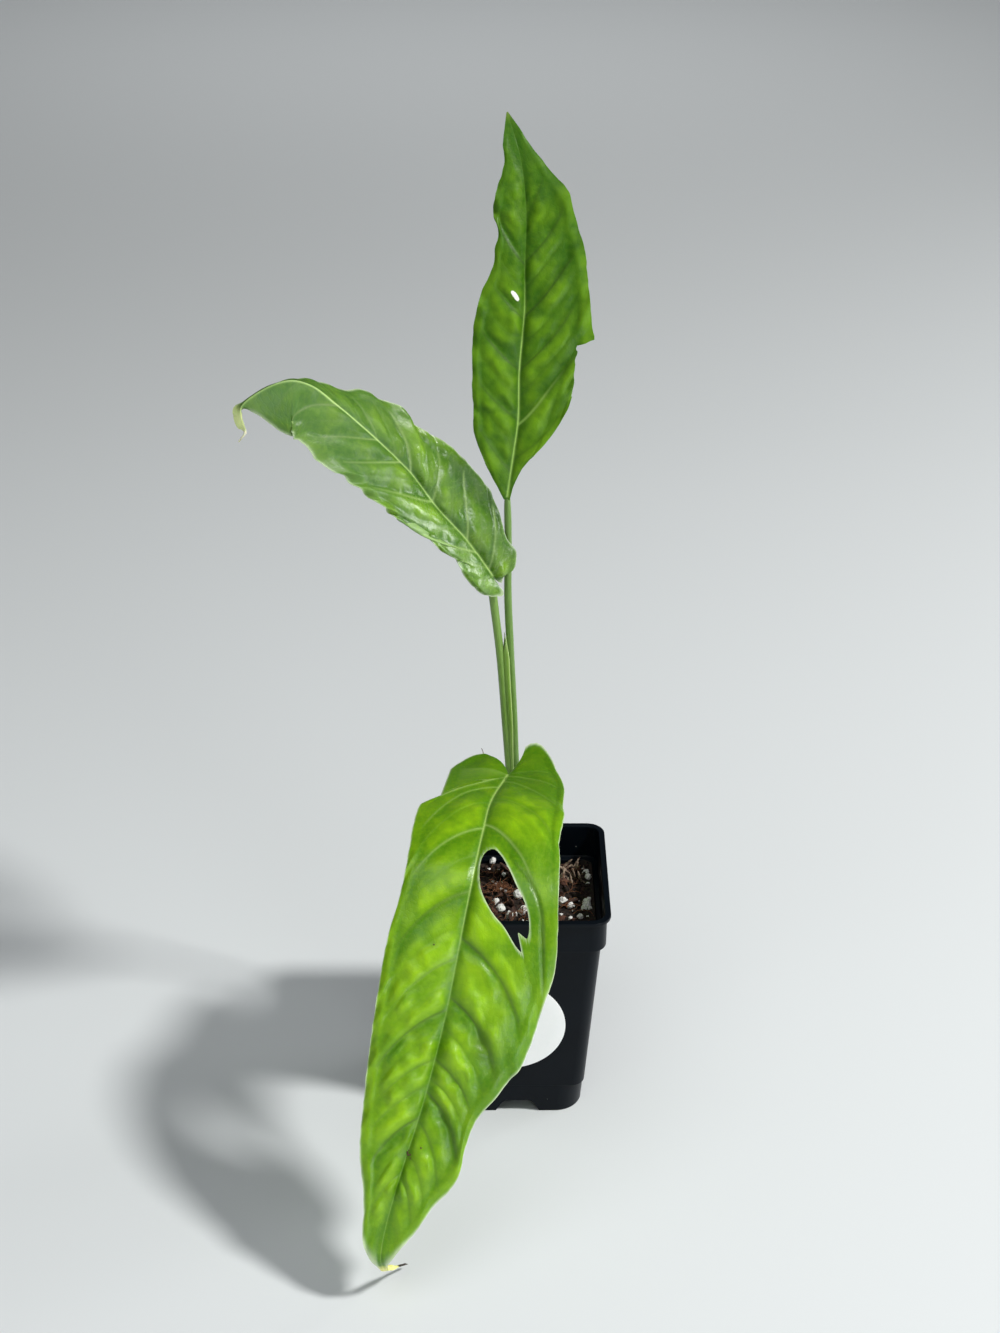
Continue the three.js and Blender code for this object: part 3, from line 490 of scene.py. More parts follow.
coir_red = mottled("coir", (0.06, 0.02, 0.008), (0.3, 0.12, 0.05), 0.002, 0.75, 0.0001)
coir_tuft = [(-12 + 2.3 * k % 9.5, 7.6 + 1.7 * k % 5.6, 0.05 - 0.03 * (k % 4), 2.6 + 0.5 * (k % 4))
             for k in range(44)]
loose.append(grow_from(seeds_on_mix("coir_fibres", coir_tuft + strewn(21, 130, 2.0, 6.0, 0.25, 1.0, 29.0)),
                       fibre_tree(), Thickness=0.00013, Wriggle=0.0035, Seed=6, Material=coir_red))
for piece in loose:
    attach(piece, "root")

# ---------------------------------------------------------------- stem and stalks
# The plant's short green stem stands in the mix. Each leaf has a round stalk, a little thicker at both ends.
# The middle leaf's stalk carries a thin sheath with pale margins, which clasps the youngest stalk.

STEM_FOOT, STEM_TOP, STEM_FACETS = 78, 102.3, 40


def stepped(low, high, x):
    s = np.clip((x - low) / (high - low), 0, 1)
    return s * s * (3 - 2 * s)


def smooth_through(pairs, x):
    """Values at x of a smooth curve through (x, value) pairs, level beyond both ends."""
    knots, values = np.array(pairs, dtype=float).T
    x = np.clip(np.asarray(x, dtype=float), knots[0], knots[-1])
    order = np.arange(len(knots))
    before, after = np.maximum(order - 1, 0), np.minimum(order + 1, len(knots) - 1)
    slope = (values[after] - values[before]) / (knots[after] - knots[before])
    k = np.clip(np.searchsorted(knots, x, side="right") - 1, 0, len(knots) - 2)
    span = knots[k + 1] - knots[k]
    s = (x - knots[k]) / span
    return ((2 * s ** 3 - 3 * s ** 2 + 1) * values[k] + (s ** 3 - 2 * s ** 2 + s) * span * slope[k]
            + (3 * s ** 2 - 2 * s ** 3) * values[k + 1] + (s ** 3 - s ** 2) * span * slope[k + 1])


class Bend:
    """A smooth curve through points, measured by distance along it."""

    def __init__(self, points, fine=60):
        p = np.array(points, dtype=float)
        p = np.vstack([2 * p[0] - p[1], p, 2 * p[-1] - p[-2]])
        places = []
        for k in range(1, len(p) - 2):
            d0, d1, d2 = (np.linalg.norm(p[k + m] - p[k + m - 1]) ** 0.5 for m in (0, 1, 2))
            t1 = ((p[k] - p[k - 1]) / d0 - (p[k + 1] - p[k - 1]) / (d0 + d1) + (p[k + 1] - p[k]) / d1) * d1
            t2 = ((p[k + 1] - p[k]) / d1 - (p[k + 2] - p[k]) / (d1 + d2) + (p[k + 2] - p[k + 1]) / d2) * d1
            s = np.linspace(0, 1, fine, endpoint=False)[:, None]
            places.append(p[k] + t1 * s + (-3 * p[k] + 3 * p[k + 1] - 2 * t1 - t2) * s ** 2
                          + (2 * p[k] - 2 * p[k + 1] + t1 + t2) * s ** 3)
        self.places = np.vstack(places + [p[-2]])
        steps = np.linalg.norm(np.diff(self.places, axis=0), axis=1)
        self.distance = np.concatenate([[0], np.cumsum(steps)])
        self.length = self.distance[-1]
        heading = np.gradient(self.places, self.distance, axis=0)
        self.headings = heading / np.linalg.norm(heading, axis=1)[:, None]

    def at(self, distance):
        """Places and headings, carried on straight beyond both ends."""
        within = np.clip(distance, 0, self.length)
        place_at, heading = (np.stack([np.interp(within, self.distance, rows[:, k]) for k in range(3)], -1)
                             for rows in (self.places, self.headings))
        heading /= np.linalg.norm(heading, axis=-1)[..., None]
        return place_at + heading * (np.asarray(distance) - within)[..., None], heading


def stalk_skin(name, low_colour, high_colour, low_z, high_z):
    """Living stalk: two greens blended up its height, with fine lengthwise streaks."""
    material, tree, skin = new_skin(name, Roughness=0.42, Subsurface_Weight=0.12,
                                    Subsurface_Radius=(0.6, 1.0, 0.25), Subsurface_Scale=0.0015)
    where = on_piece(tree)
    height = wire(tree, "ShaderNodeSeparateXYZ", {0: where}).outputs["Z"]
    green = mixed(tree, ranged(tree, height, low_z, high_z), low_colour, high_colour)
    drawn_out = wire(tree, "ShaderNodeMapping", {"Vector": where, "Scale": (2600, 2600, 90)}).outputs["Vector"]
    streak = clouded(tree, drawn_out, 1.0, 4).outputs["Fac"]
    fade = ranged(tree, streak, 0.0, 1.0, 0.72, 1.28)
    streaked = wire(tree, "ShaderNodeVectorMath", {0: green, "Scale": fade}, operation="SCALE")
    lead(tree, skin, Base_Color=streaked.outputs["Vector"], Normal=embossed(tree, streak, 0.35, 0.0002))
    return material


def tube_tree():
    """A round tube along a line of points, as thick at each point as its attribute says."""
    tree, given, result = new_tree("stalk tube", (("Sides", "Int", 24), ("Material", "Material", None)))
    curve = wire(tree, "GeometryNodeMeshToCurve", {"Mesh": given["Geometry"]}).outputs[0]
    section = wire(tree, "GeometryNodeCurvePrimitiveCircle", {"Resolution": given["Sides"], "Radius": 1.0})
    tube = wire(tree, "GeometryNodeCurveToMesh", {"Curve": curve, "Profile Curve": section.outputs[0],
                                                  "Scale": at_points(tree, "thick"), "Fill Caps": True})
    return coated(tree, given, result, tube.outputs[0])


tubes = tube_tree()


def stalk(name, bend, thickness, material, node):
    along = np.linspace(0, bend.length, int(bend.length / 1.5))
    places, _ = bend.at(along)
    piece = shaped(name, places, [], edges=[(k, k + 1) for k in range(len(places) - 1)])
    mark(piece, "thick", smooth_through(thickness, along / bend.length) * MM)
    grow_from(piece, tubes, Sides=24, Material=material)
    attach(piece, "root")
    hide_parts(node)


stem_skin = stalk_skin("stem skin", (0.09, 0.11, 0.035), (0.13, 0.22, 0.06), 0.092, 0.104)
stem_profile = [(STEM_FOOT, 3.4), (90, 3.5), (92, 3.7), (93.5, 3.55), (95.6, 3.5), (96, 3.75), (96.5, 3.5),
                (98.4, 3.45), (98.8, 3.7), (99.3, 3.45), (100.8, 3.4), (101.6, 3.0), (102.1, 2.2),
                (STEM_TOP, 1.0)]
stem_rings = []
for z in np.concatenate([[STEM_FOOT, 88], np.arange(90, STEM_TOP, 0.2), [STEM_TOP]]):
    around = np.arange(STEM_FACETS) * 2 * np.pi / STEM_FACETS
    uneven = 1 + 0.05 * np.cos(2 * around + 0.7) + 0.02 * np.cos(5 * around + z)
    radius = smooth_through(stem_profile, z) * uneven
    stem_rings.append(np.stack([STEM_X + radius * np.cos(around), STEM_Y + radius * np.sin(around),
                                0 * around + z], -1))
stem = shaped("stem_crown", *skin_over(stem_rings), stem_skin)
shade(stem, 60)
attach(stem, "root")
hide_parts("stem")

front_bend = Bend([(2.8, 16.6, 97), (2.6, 15.2, 102.6), (0.8, 10.5, 125), (-1.4, 4, 145), (-3.4, -5, 159.5),
                   (-4.8, -12.4, 167.4), (-5.6, -18, 170.2)])
middle_bend = Bend([(2.2, 19, 97), (1.2, 18.9, 102.6), (-1.3, 16.9, 128), (-3.8, 14.2, 156),
                    (-5.3, 12.5, 177.5), (-7.9, 9.2, 216), (-10.9, 5.6, 246), (-11.7, 3.6, 257.4)])
top_bend = Bend([(4.2, 18.9, 97), (4.6, 18.7, 102.6), (2.1, 16.5, 128), (-0.85, 13.5, 156), (-2.05, 12, 185),
                 (-3.75, 9.5, 221), (-4.7, 8, 246), (-4.6, 7, 270), (-5, 5.9, 290), (-4.9, 5.1, 295)])
older_green = stalk_skin("older stalk", (0.13, 0.245, 0.04), (0.17, 0.3, 0.055), 0.1, 0.26)
young_green = stalk_skin("young stalk", (0.095, 0.195, 0.028), (0.115, 0.225, 0.034), 0.1, 0.29)
stalk("front_stalk", front_bend,
      [(0, 2.3), (0.12, 1.9), (0.35, 1.55), (0.75, 1.45), (0.86, 1.7), (0.95, 1.5), (1, 0.7)],
      older_green, "stalk_front")
stalk("middle_stalk", middle_bend,
      [(0, 2.3), (0.1, 1.95), (0.3, 1.72), (0.85, 1.72), (0.93, 1.75), (0.985, 1.55), (1, 0.9)],
      older_green, "stalk_middle")
stalk("top_stalk", top_bend,
      [(0, 2.1), (0.1, 1.75), (0.3, 1.6), (0.7, 1.62), (0.88, 1.45), (0.93, 1.5), (0.97, 1.25), (1, 0.6)],
      young_green, "stalk_top")


def sheet_between(middle, normals, upper_off, lower_off, faces):
    """A closed thin sheet: both faces of a middle surface, and a rim along every open edge."""
    count = len(middle)
    points = np.vstack([middle + normals * upper_off[:, None], middle - normals * lower_off[:, None]])
    used = {edge: True for face in faces for edge in zip(face, face[1:] + face[:1])}
    skin = list(faces) + [[v + count for v in face[::-1]] for face in faces]
    skin += [[b, a, a + count, b + count] for a, b in used if (b, a) not in used]
    return points, skin


def surface_normals(points, faces):
    """The surface's direction at each point: the mean of its faces' directions, by their size."""
    normals = np.zeros_like(points)
    for size in (3, 4, 5, 6):
        some = np.array([f for f in faces if len(f) == size])
        if not len(some):
            continue
        for k in range(1, size - 1):
            face_normal = np.cross(points[some[:, k]] - points[some[:, 0]],
                                   points[some[:, k + 1]] - points[some[:, 0]])
            for corner in range(size):
                np.add.at(normals, some[:, corner], face_normal)
    return normals / np.maximum(np.linalg.norm(normals, axis=1)[:, None], 1e-12)


# The sheath is two wings that spring from the middle stalk and close round the top stalk. It starts a little
# above the crown, and its wings are rows of points from the root in the stalk, over a bow, to the free margin.
SHEATH_ROWS, SHEATH_COLUMNS, SHEATH_CLASP, SHEATH_REACH = 90, 16, 1.95, 1.36
SHEATH_START, SHEATH_END, SHEATH_HALF_THICK = 6, top_bend.length * 0.655, 0.16


def sheath_green():
    """The stalk's skin, paling to a whitish margin."""
    material = stalk_skin("sheath", (0.15, 0.29, 0.035), (0.19, 0.34, 0.045), 0.1, 0.22)
    tree = material.node_tree
    skin = tree.nodes["Principled BSDF"]
    margin = wire(tree, "ShaderNodeAttribute", attribute_name="rim").outputs["Fac"]
    green = skin.inputs["Base Color"].links[0].from_socket
    lead(tree, skin, Base_Color=mixed(tree, margin, green, (0.44, 0.6, 0.22)))
    return material


def between(first, second, share):
    return first * (1 - share) + second * share


wings, sheath_rim = [[], []], []
for share in np.arange(SHEATH_ROWS + 1) / SHEATH_ROWS:
    distance = np.array(SHEATH_START + (SHEATH_END - SHEATH_START) * share)
    held, along = top_bend.at(distance)
    carrier, _ = middle_bend.at(distance)
    inward = carrier - held
    inward -= along * inward.dot(along)
    inward /= np.linalg.norm(inward)
    round_way = np.cross(along, inward)
    clasp = SHEATH_CLASP + 0.3 * share ** 3 + 0.1 * math.sin(distance / 7)
    narrowing = stepped(0.9, 1.0, share)
    turn = SHEATH_REACH * (1 - 0.12 * stepped(0.5, 0.9, share) - 0.4 * narrowing)
    for wing, side in zip(wings, (1, -1)):
        free = held + clasp * (inward * math.cos(turn) + side * round_way * math.sin(turn))
        root = between(carrier - inward * 0.9 + side * round_way * 0.35, free + inward * 0.12, narrowing)
        bow = between(held + clasp * (inward * 1.15 + side * round_way * 1.15), (root + free) / 2, narrowing)
        for s in np.arange(SHEATH_COLUMNS + 1) / SHEATH_COLUMNS:
            wing.append((1 - s) ** 2 * root + 2 * s * (1 - s) * bow + s * s * free)
            if side == 1:
                sheath_rim.append(max(stepped(0.84, 0.97, s), narrowing ** 2))
wide_row = SHEATH_COLUMNS + 1
wing_faces = [[i * wide_row + j, i * wide_row + j + 1, (i + 1) * wide_row + j + 1, (i + 1) * wide_row + j]
              for i in range(SHEATH_ROWS) for j in range(SHEATH_COLUMNS)]
sheath_points, sheath_faces = [], []
for wing, faces in zip(wings, (wing_faces, [face[::-1] for face in wing_faces])):
    thin = SHEATH_HALF_THICK * np.ones(len(wing))
    points, skin = sheet_between(np.array(wing), surface_normals(np.array(wing), faces), thin, thin, faces)
    sheath_faces += [[v + len(sheath_points) for v in face] for face in skin]
    sheath_points += list(points)
sheath = shaped("middle_sheath", sheath_points, sheath_faces, sheath_green())
mark(sheath, "rim", sheath_rim * 4)
shade(sheath, 60)
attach(sheath, "root")

# ---------------------------------------------------------------- dried scale leaf
# The brown, papery point of an old scale leaf. It rises from the crown behind the front leaf's left lobe,
# and is curled into a narrow trough that thins to a tip.

SCALE_ROWS, SCALE_FACETS, SCALE_THICK = 48, 16, 0.21

scale_bend = Bend([(-1.2, 16.3, 94), (-2.8, 15.8, 108), (-6, 15, 128), (-11, 13.5, 150), (-16, 12, 168.5)])
scale_rings = []
for share in np.arange(SCALE_ROWS + 1) / SCALE_ROWS:
    spot_on, heading = scale_bend.at(np.array(scale_bend.length * share))
    side = np.cross(heading, (0, 1, 0))
    side /= np.linalg.norm(side)
    back = np.cross(side, heading)
    width = smooth_through([(0, 1.5), (0.4, 1.1), (0.8, 0.55), (1, 0.12)], share)
    ring = []
    for turn in np.arange(SCALE_FACETS) * 2 * np.pi / SCALE_FACETS:
        across, deep = math.cos(turn), math.sin(turn)
        curl = 0.55 * width * across * across
        ring.append(spot_on + side * width * across + back * (curl + deep * SCALE_THICK * (1.1 - abs(across))))
    scale_rings.append(np.array(ring))
dried_brown = mottled("dried scale", (0.03, 0.018, 0.011), (0.15, 0.095, 0.055), 0.003, 0.8, 0.0002)
dried = shaped("dried_scale_leaf", *skin_over(scale_rings), dried_brown)
clean = bmesh.new()
clean.from_mesh(dried.data)
bmesh.ops.recalc_face_normals(clean, faces=clean.faces)
clean.to_mesh(dried.data)
clean.free()
shade(dried, 60)
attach(dried, "root")
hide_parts("dried_scale")

# ---------------------------------------------------------------- leaf blades
# Three living blades, each a thin waxy sheet quilted between sunken side veins, with a ribbed underside and
# a pale rim that is a painted highlight along the edge. Their greens paint shade into the valleys, creases and
# pockets. Each has unrolled from a sheath, and its midrib carries on the stalk that holds it.

# A blade is drawn flat, by millimetres along and across its midrib, then bent onto its midrib's curve. Its
# outline is (along, across) points from the lobe to the tip, and each side vein is a (place on the midrib,
# place on the margin, strength) row. Columns and the ends of veins are shares of the way out to the margin.
BLADE_COLUMNS = np.concatenate([[0, 0.006, 0.013, 0.022, 0.036, 0.056], np.linspace(0.08, 0.93, 29),
                                [0.955, 0.974, 0.988, 0.995, 1.0]])
VEINS_END, MARGIN_FOLD = (0.76, 0.88), 0.84
BLADE_HALF_THICK, VEIN_WIDTH, VALLEY_SHIFT, RIPPLE_WIDE, TORN_GRAIN = 0.2, 0.42, 1.3, 6.8, 3.4
RIB_REACH, MARGIN_REACH, RIM_WIDE, SLENDER_WIDTH, VEIN_FADES = 2.6, 2.8, 0.34, 12, 40
TIP_BLEND, TIP_TAPER = 7, 14
ROUGH_GRAINS = ((17, 15, 0), (6.5, 6.5, 9), (2.6, 2.6, 17))


def on_leaf(leaf, t, w, relief):
    """Places in space of flat points (t along the midrib, w across it), raised by relief."""
    u = np.clip(t / leaf["bend"].length, 0, 1)
    centre, along = leaf["bend"].at(t)
    face = np.stack([smooth_through([(f[0], f[k]) for f in leaf["facing"]], u) for k in (1, 2, 3)], -1)
    face = face - along * (face * along).sum(-1)[..., None]
    normal = face / np.linalg.norm(face, axis=-1)[..., None]
    side = np.cross(normal, along)
    fold = np.where(w > 0, smooth_through(leaf["fold_right"], u), smooth_through(leaf["fold_left"], u))
    lift = fold * np.abs(w) - leaf["droop"] * w * w + 0.012 * np.minimum(t, 0) ** 2 + relief
    return centre + side * w[..., None] + normal * lift[..., None]


def half_blade(leaf, half, rows, sign):
    """Flat places and surface values of one half of a blade, on rows that run along its side veins."""
    veins, b, seed, length = half["veins"], BLADE_COLUMNS, leaf["seed"], leaf["bend"].length
    fine = np.linspace(0, len(veins) - 1, 4000)
    bases = np.array([float(v[0]) for v in veins])
    a = np.interp(rows, np.maximum.accumulate(smooth_through(list(enumerate(bases)), fine)), fine)
    edge = np.array(half["outline"], dtype=float)
    way_round = np.concatenate([[0], np.cumsum(np.hypot(*np.diff(edge, axis=0).T))])
    lowest = int(np.argmin(edge[:, 0]))
    meets = [(m, np.interp(v[1], edge[lowest:, 0], way_round[lowest:])) for m, v in enumerate(veins)]
    meets[0] = (0, 0.0)
    tuck_at, tuck_wide, tuck_along, tuck_in = half.get("tuck", (0, 1, 0, 0))

    def flat(base, a_index):
        reached = smooth_through(meets, a_index)
        edge_t, edge_w = (smooth_through(list(zip(way_round, edge[:, k])), reached) for k in (0, 1))
        torn = np.array([noise.noise(Vector((r / TORN_GRAIN, sign * 7, seed))) for r in reached])
        edge_w = edge_w * (1 + leaf["ragged"] * torn / np.maximum(edge_w, 6))
        lobe = np.clip(1 - a_index / 2, 0, 1) ** 1.5
        tucked = np.exp(-((edge_t - tuck_at) / tuck_wide) ** 2)
        bend_t = between(base + leaf["sweep"][0] * (edge_t - base), half["lobe_bend"][0], lobe)
        bend_t = bend_t + tuck_along * tucked
        bend_w = between(leaf["sweep"][1] * edge_w, half["lobe_bend"][1], lobe) - tuck_in * tucked
        grid_t = (1 - b) ** 2 * base[:, None] + 2 * b * (1 - b) * bend_t[:, None] + b ** 2 * edge_t[:, None]
        grid_w = 2 * b * (1 - b) * bend_w[:, None] + b ** 2 * edge_w[:, None]
        return grid_t, np.maximum(grid_w, 0), edge_w

    t, w, edge_w = flat(rows, a)
    vein_t, vein_w, _ = flat(bases, np.arange(len(veins), dtype=float))
    way_t, way_w = np.gradient(vein_t, axis=1), np.gradient(vein_w, axis=1)
    way = np.maximum(np.hypot(way_t, way_w), 1e-9)
    way_t, way_w = way_t / way, way_w / way

    def off_vein(m):
        return (t - vein_t[m]) * way_w[m] - (w - vein_w[m]) * way_t[m]

    k = np.clip(np.floor(a).astype(int), 0, len(veins) - 2)
    beside = np.abs(off_vein(k))
    gap = beside + np.abs(off_vein(k + 1))
    phase = beside / np.maximum(gap, 1e-6)
    fade = 1 - stepped(*VEINS_END, b)
    plain, line = 1.0, 0.0
    for m, (_, _, strength) in enumerate(veins):
        if not strength:
            continue
        valley = off_vein(m) - VALLEY_SHIFT * np.sqrt(strength)
        width = (2.2 + 3.2 * strength) * np.where(valley < 0, 0.5, 1.2)
        plain = plain * (1 - strength * fade * np.exp(-(np.abs(valley) / width) ** 1.4))
        line = np.maximum(line, strength ** 1.5 * fade * np.exp(-(off_vein(m) / VEIN_WIDTH) ** 2))
    across = np.abs(edge_w)[:, None]
    plain = plain * (1 - 0.6 * np.exp(-(np.abs(b - MARGIN_FOLD) * across / MARGIN_REACH) ** 1.4))
    rough = np.array([[[noise.noise(Vector((x / long, sign * y / wide, seed + step)))
                        for long, wide, step in ROUGH_GRAINS] for x, y in zip(row_t, row_w)]
                      for row_t, row_w in zip(t, w)])
    broad, middling, small = (rough[..., m] for m in range(3))
    u = np.clip(t / length, 0, 1)
    parts = np.maximum(np.round(gap[:, len(b) // 2] / RIPPLE_WIDE), 1)[:, None]
    ridges = 0.5 - 0.5 * np.cos(2 * np.pi * parts * phase + 3.0 * middling * np.sin(np.pi * phase))
    ripple = (ridges * stepped(0.0, 0.12, b) * (1 - stepped(0.5, MARGIN_FOLD, b))
              * np.clip(0.75 + 2.2 * middling, 0, 1.6))
    near_rib = 1 - np.exp(-(w / RIB_REACH) ** 1.4)
    to_margin = stepped(MARGIN_FOLD, 1.0, b)
    slender = np.clip(across / SLENDER_WIDTH, 0, 1)
    # The swell share paints shade: dark green in the vein valleys, light green on the swells, less towards the
    # margin and uneven at random. The light-green share lowers it further where that share is low.
    swell_shade = np.clip(plain * near_rib, 0, 1) * leaf["light_green_share"](t, sign * w) * (1 - leaf["dull_edge"] * to_margin)
    swell_shade = swell_shade * np.clip(1 + leaf["uneven"] * (middling + 0.8 * small), 0, 1.6)
    inner, flattened = slender * near_rib, 1 - 0.9 * to_margin
    relief = leaf["quilt"] * plain * inner * flattened + leaf["ripple"](u) * (ripple - 0.35) * slender
    waving = 2 * np.pi * leaf["waves"] * smooth_through(meets, a)[:, None] / length
    relief += leaf["wave"] * b ** 3 * slender * np.sin(waving + seed + sign + 5 * broad[:, -1:])
    relief += (0.9 * broad + 0.45 * middling + 0.08 * small) * inner
    relief *= leaf["calm"](u, sign * w)
    relief -= 0.9 * leaf["pockets"](t, sign * w) * inner * flattened
    return {"t": t, "w": sign * w, "relief": relief, "vein": line * np.exp(-w / VEIN_FADES),
            "swell_shade": swell_shade, "ripple": ripple, "edge": (1 - b) * across, "u": u}


def outline_distance(points, outline):
    """Distance from each flat point to a closed outline, negative inside it."""
    a, b = outline, np.roll(outline, -1, axis=0)
    along = b - a
    off = points[:, None] - a[None]
    share = np.clip((off * along).sum(-1) / (along ** 2).sum(-1), 0, 1)
    distance = np.linalg.norm(off - share[..., None] * along, axis=-1).min(axis=1)
    crosses = (a[:, 1] > points[:, None, 1]) != (b[:, 1] > points[:, None, 1])
    with np.errstate(divide="ignore", invalid="ignore"):
        x_at = a[:, 0] + (points[:, None, 1] - a[:, 1]) * along[:, 0] / along[:, 1]
    inside = (crosses & (points[:, None, 0] < x_at)).sum(axis=1) % 2 == 1
    return np.where(inside, -distance, distance)


def cut_window(values, faces, outside):
    """Clips faces where outside turns negative; values are the per-point arrays, grown with the new points."""
    added, between_points, kept = {name: [] for name in values}, {}, []
    count = len(outside)

    def crossing(a, b):
        key = (min(a, b), max(a, b))
        if key not in between_points:
            share = outside[key[0]] / (outside[key[0]] - outside[key[1]])
            for name, value in values.items():
                added[name].append(between(value[key[0]], value[key[1]], share))
            between_points[key] = count + len(between_points)
        return between_points[key]

    for face in faces:
        signs = [outside[v] > 0 for v in face]
        if all(signs):
            kept.append(face)
        elif any(signs):
            shape = []
            for a, b in zip(face, face[1:] + face[:1]):
                if outside[a] > 0:
                    shape.append(a)
                if (outside[a] > 0) != (outside[b] > 0):
                    shape.append(crossing(a, b))
            if len(shape) > 2:
                kept.append(shape)
    for name in values:
        if added[name]:
            values[name] = np.concatenate([values[name], np.array(added[name])])
    return kept


def leaf_skin(name, high, low, pale, under, tip, dry, tip_from, length, roughness, gloss,
              matte=(0, 1, 0, 0), spot=None):
    """Waxy leaf skin: greens with painted shade in the valleys, creases and pockets, a pale midrib, a rim
    painted as a highlight, and a matte ribbed underside.
    """
    material, tree, skin = new_skin(name, Subsurface_Weight=0.1, Subsurface_Radius=(0.5, 1.0, 0.12),
                                    Subsurface_Scale=0.001, Specular_IOR_Level=gloss)
    read = {key: wire(tree, "ShaderNodeAttribute", attribute_name=key).outputs["Fac"]
            for key in ("along", "across", "swell_shade", "ripple", "crease", "vein", "rib", "rim", "under")}
    flat = wire(tree, "ShaderNodeCombineXYZ", {0: read["along"], 1: read["across"]}).outputs[0]

    def scaled(source, factor, base=0.0):
        return wire(tree, "ShaderNodeMath", {0: source, 1: factor, 2: base}, operation="MULTIPLY_ADD").outputs[0]

    def layered(colour, *coats):
        for share, coat in coats:
            colour = mixed(tree, share, colour, coat)
        return colour

    patches = clouded(tree, flat, 0.075, 4).outputs["Fac"]
    mottle = clouded(tree, flat, 0.55, 5).outputs["Fac"]
    warped = wire(tree, "ShaderNodeVectorMath", {0: flat, 1: clouded(tree, flat, 0.5).outputs["Color"]},
                  operation="ADD").outputs["Vector"]
    cells = wire(tree, "ShaderNodeTexVoronoi", {"Vector": warped, "Scale": 0.42}, feature="DISTANCE_TO_EDGE")
    net = ranged(tree, cells.outputs["Distance"], 0.0, 0.14, 1.0, 0.0)
    warm = tuple(c * f for c, f in zip(high, (1.3, 1.12, 0.9)))
    cool = tuple(c * f for c, f in zip(low, (0.85, 1.0, 1.0)))
    # Dark green in the valleys and light green on the swells paint the quilting's shade and light. The ripple
    # troughs get painted shade, the creases and pockets darker painted shade, and the rim a painted highlight.
    green = layered(mixed(tree, ranged(tree, read["swell_shade"], 0.1, 0.75), low, high),
                    (ranged(tree, patches, 0.5, 0.72, 0.0, 0.3), warm),
                    (ranged(tree, patches, 0.5, 0.3, 0.0, 0.5), cool),
                    (ranged(tree, read["ripple"], 0.5, 0.0, 0.0, 0.3), low),
                    (ranged(tree, mottle, 0.42, 0.66, 0.0, 0.12), warm), (scaled(net, 0.05), low),
                    (scaled(read["crease"], 0.9), tuple(c * 0.5 for c in low)),
                    (read["vein"], pale), (read["rib"], pale), (read["rim"], tuple(0.4 + 0.5 * c for c in pale)))
    beneath = layered(under, (scaled(read["vein"], 0.6), pale), (read["rib"], pale),
                      (ranged(tree, mottle, 0.4, 0.65, 0.0, 0.25), warm))
    coat = layered(green, (read["under"], beneath), (ranged(tree, read["along"], tip_from, tip_from + 4), tip),
                   (ranged(tree, read["along"], length - 7, length - 5.5), dry))
    if spot:
        t, w, half_length, half_width, turned = spot
        within = wire(tree, "ShaderNodeMapping", vector_type="TEXTURE", inputs={
            "Vector": flat, "Location": (t, w, 0), "Rotation": (0, 0, turned),
            "Scale": (half_length, half_width, 1)}).outputs["Vector"]
        away = wire(tree, "ShaderNodeVectorMath", {0: within}, operation="LENGTH").outputs["Value"]
        coat = layered(coat, (ranged(tree, scaled(mottle, 1.1, away), 1.72, 1.55), (0.86, 0.86, 0.8)))
    waxy = scaled(read["under"], 0.18, ranged(tree, mottle, 0.3, 0.7, roughness - 0.05, roughness + 0.08))
    worn = wire(tree, "ShaderNodeMath", {0: waxy, 1: ranged(tree, read["along"], *matte)}, operation="ADD")
    lead(tree, skin, Base_Color=coat, Roughness=worn.outputs[0],
         Normal=embossed(tree, scaled(mottle, 0.8, net), 0.3, 0.00009, sunken=True))
    return material


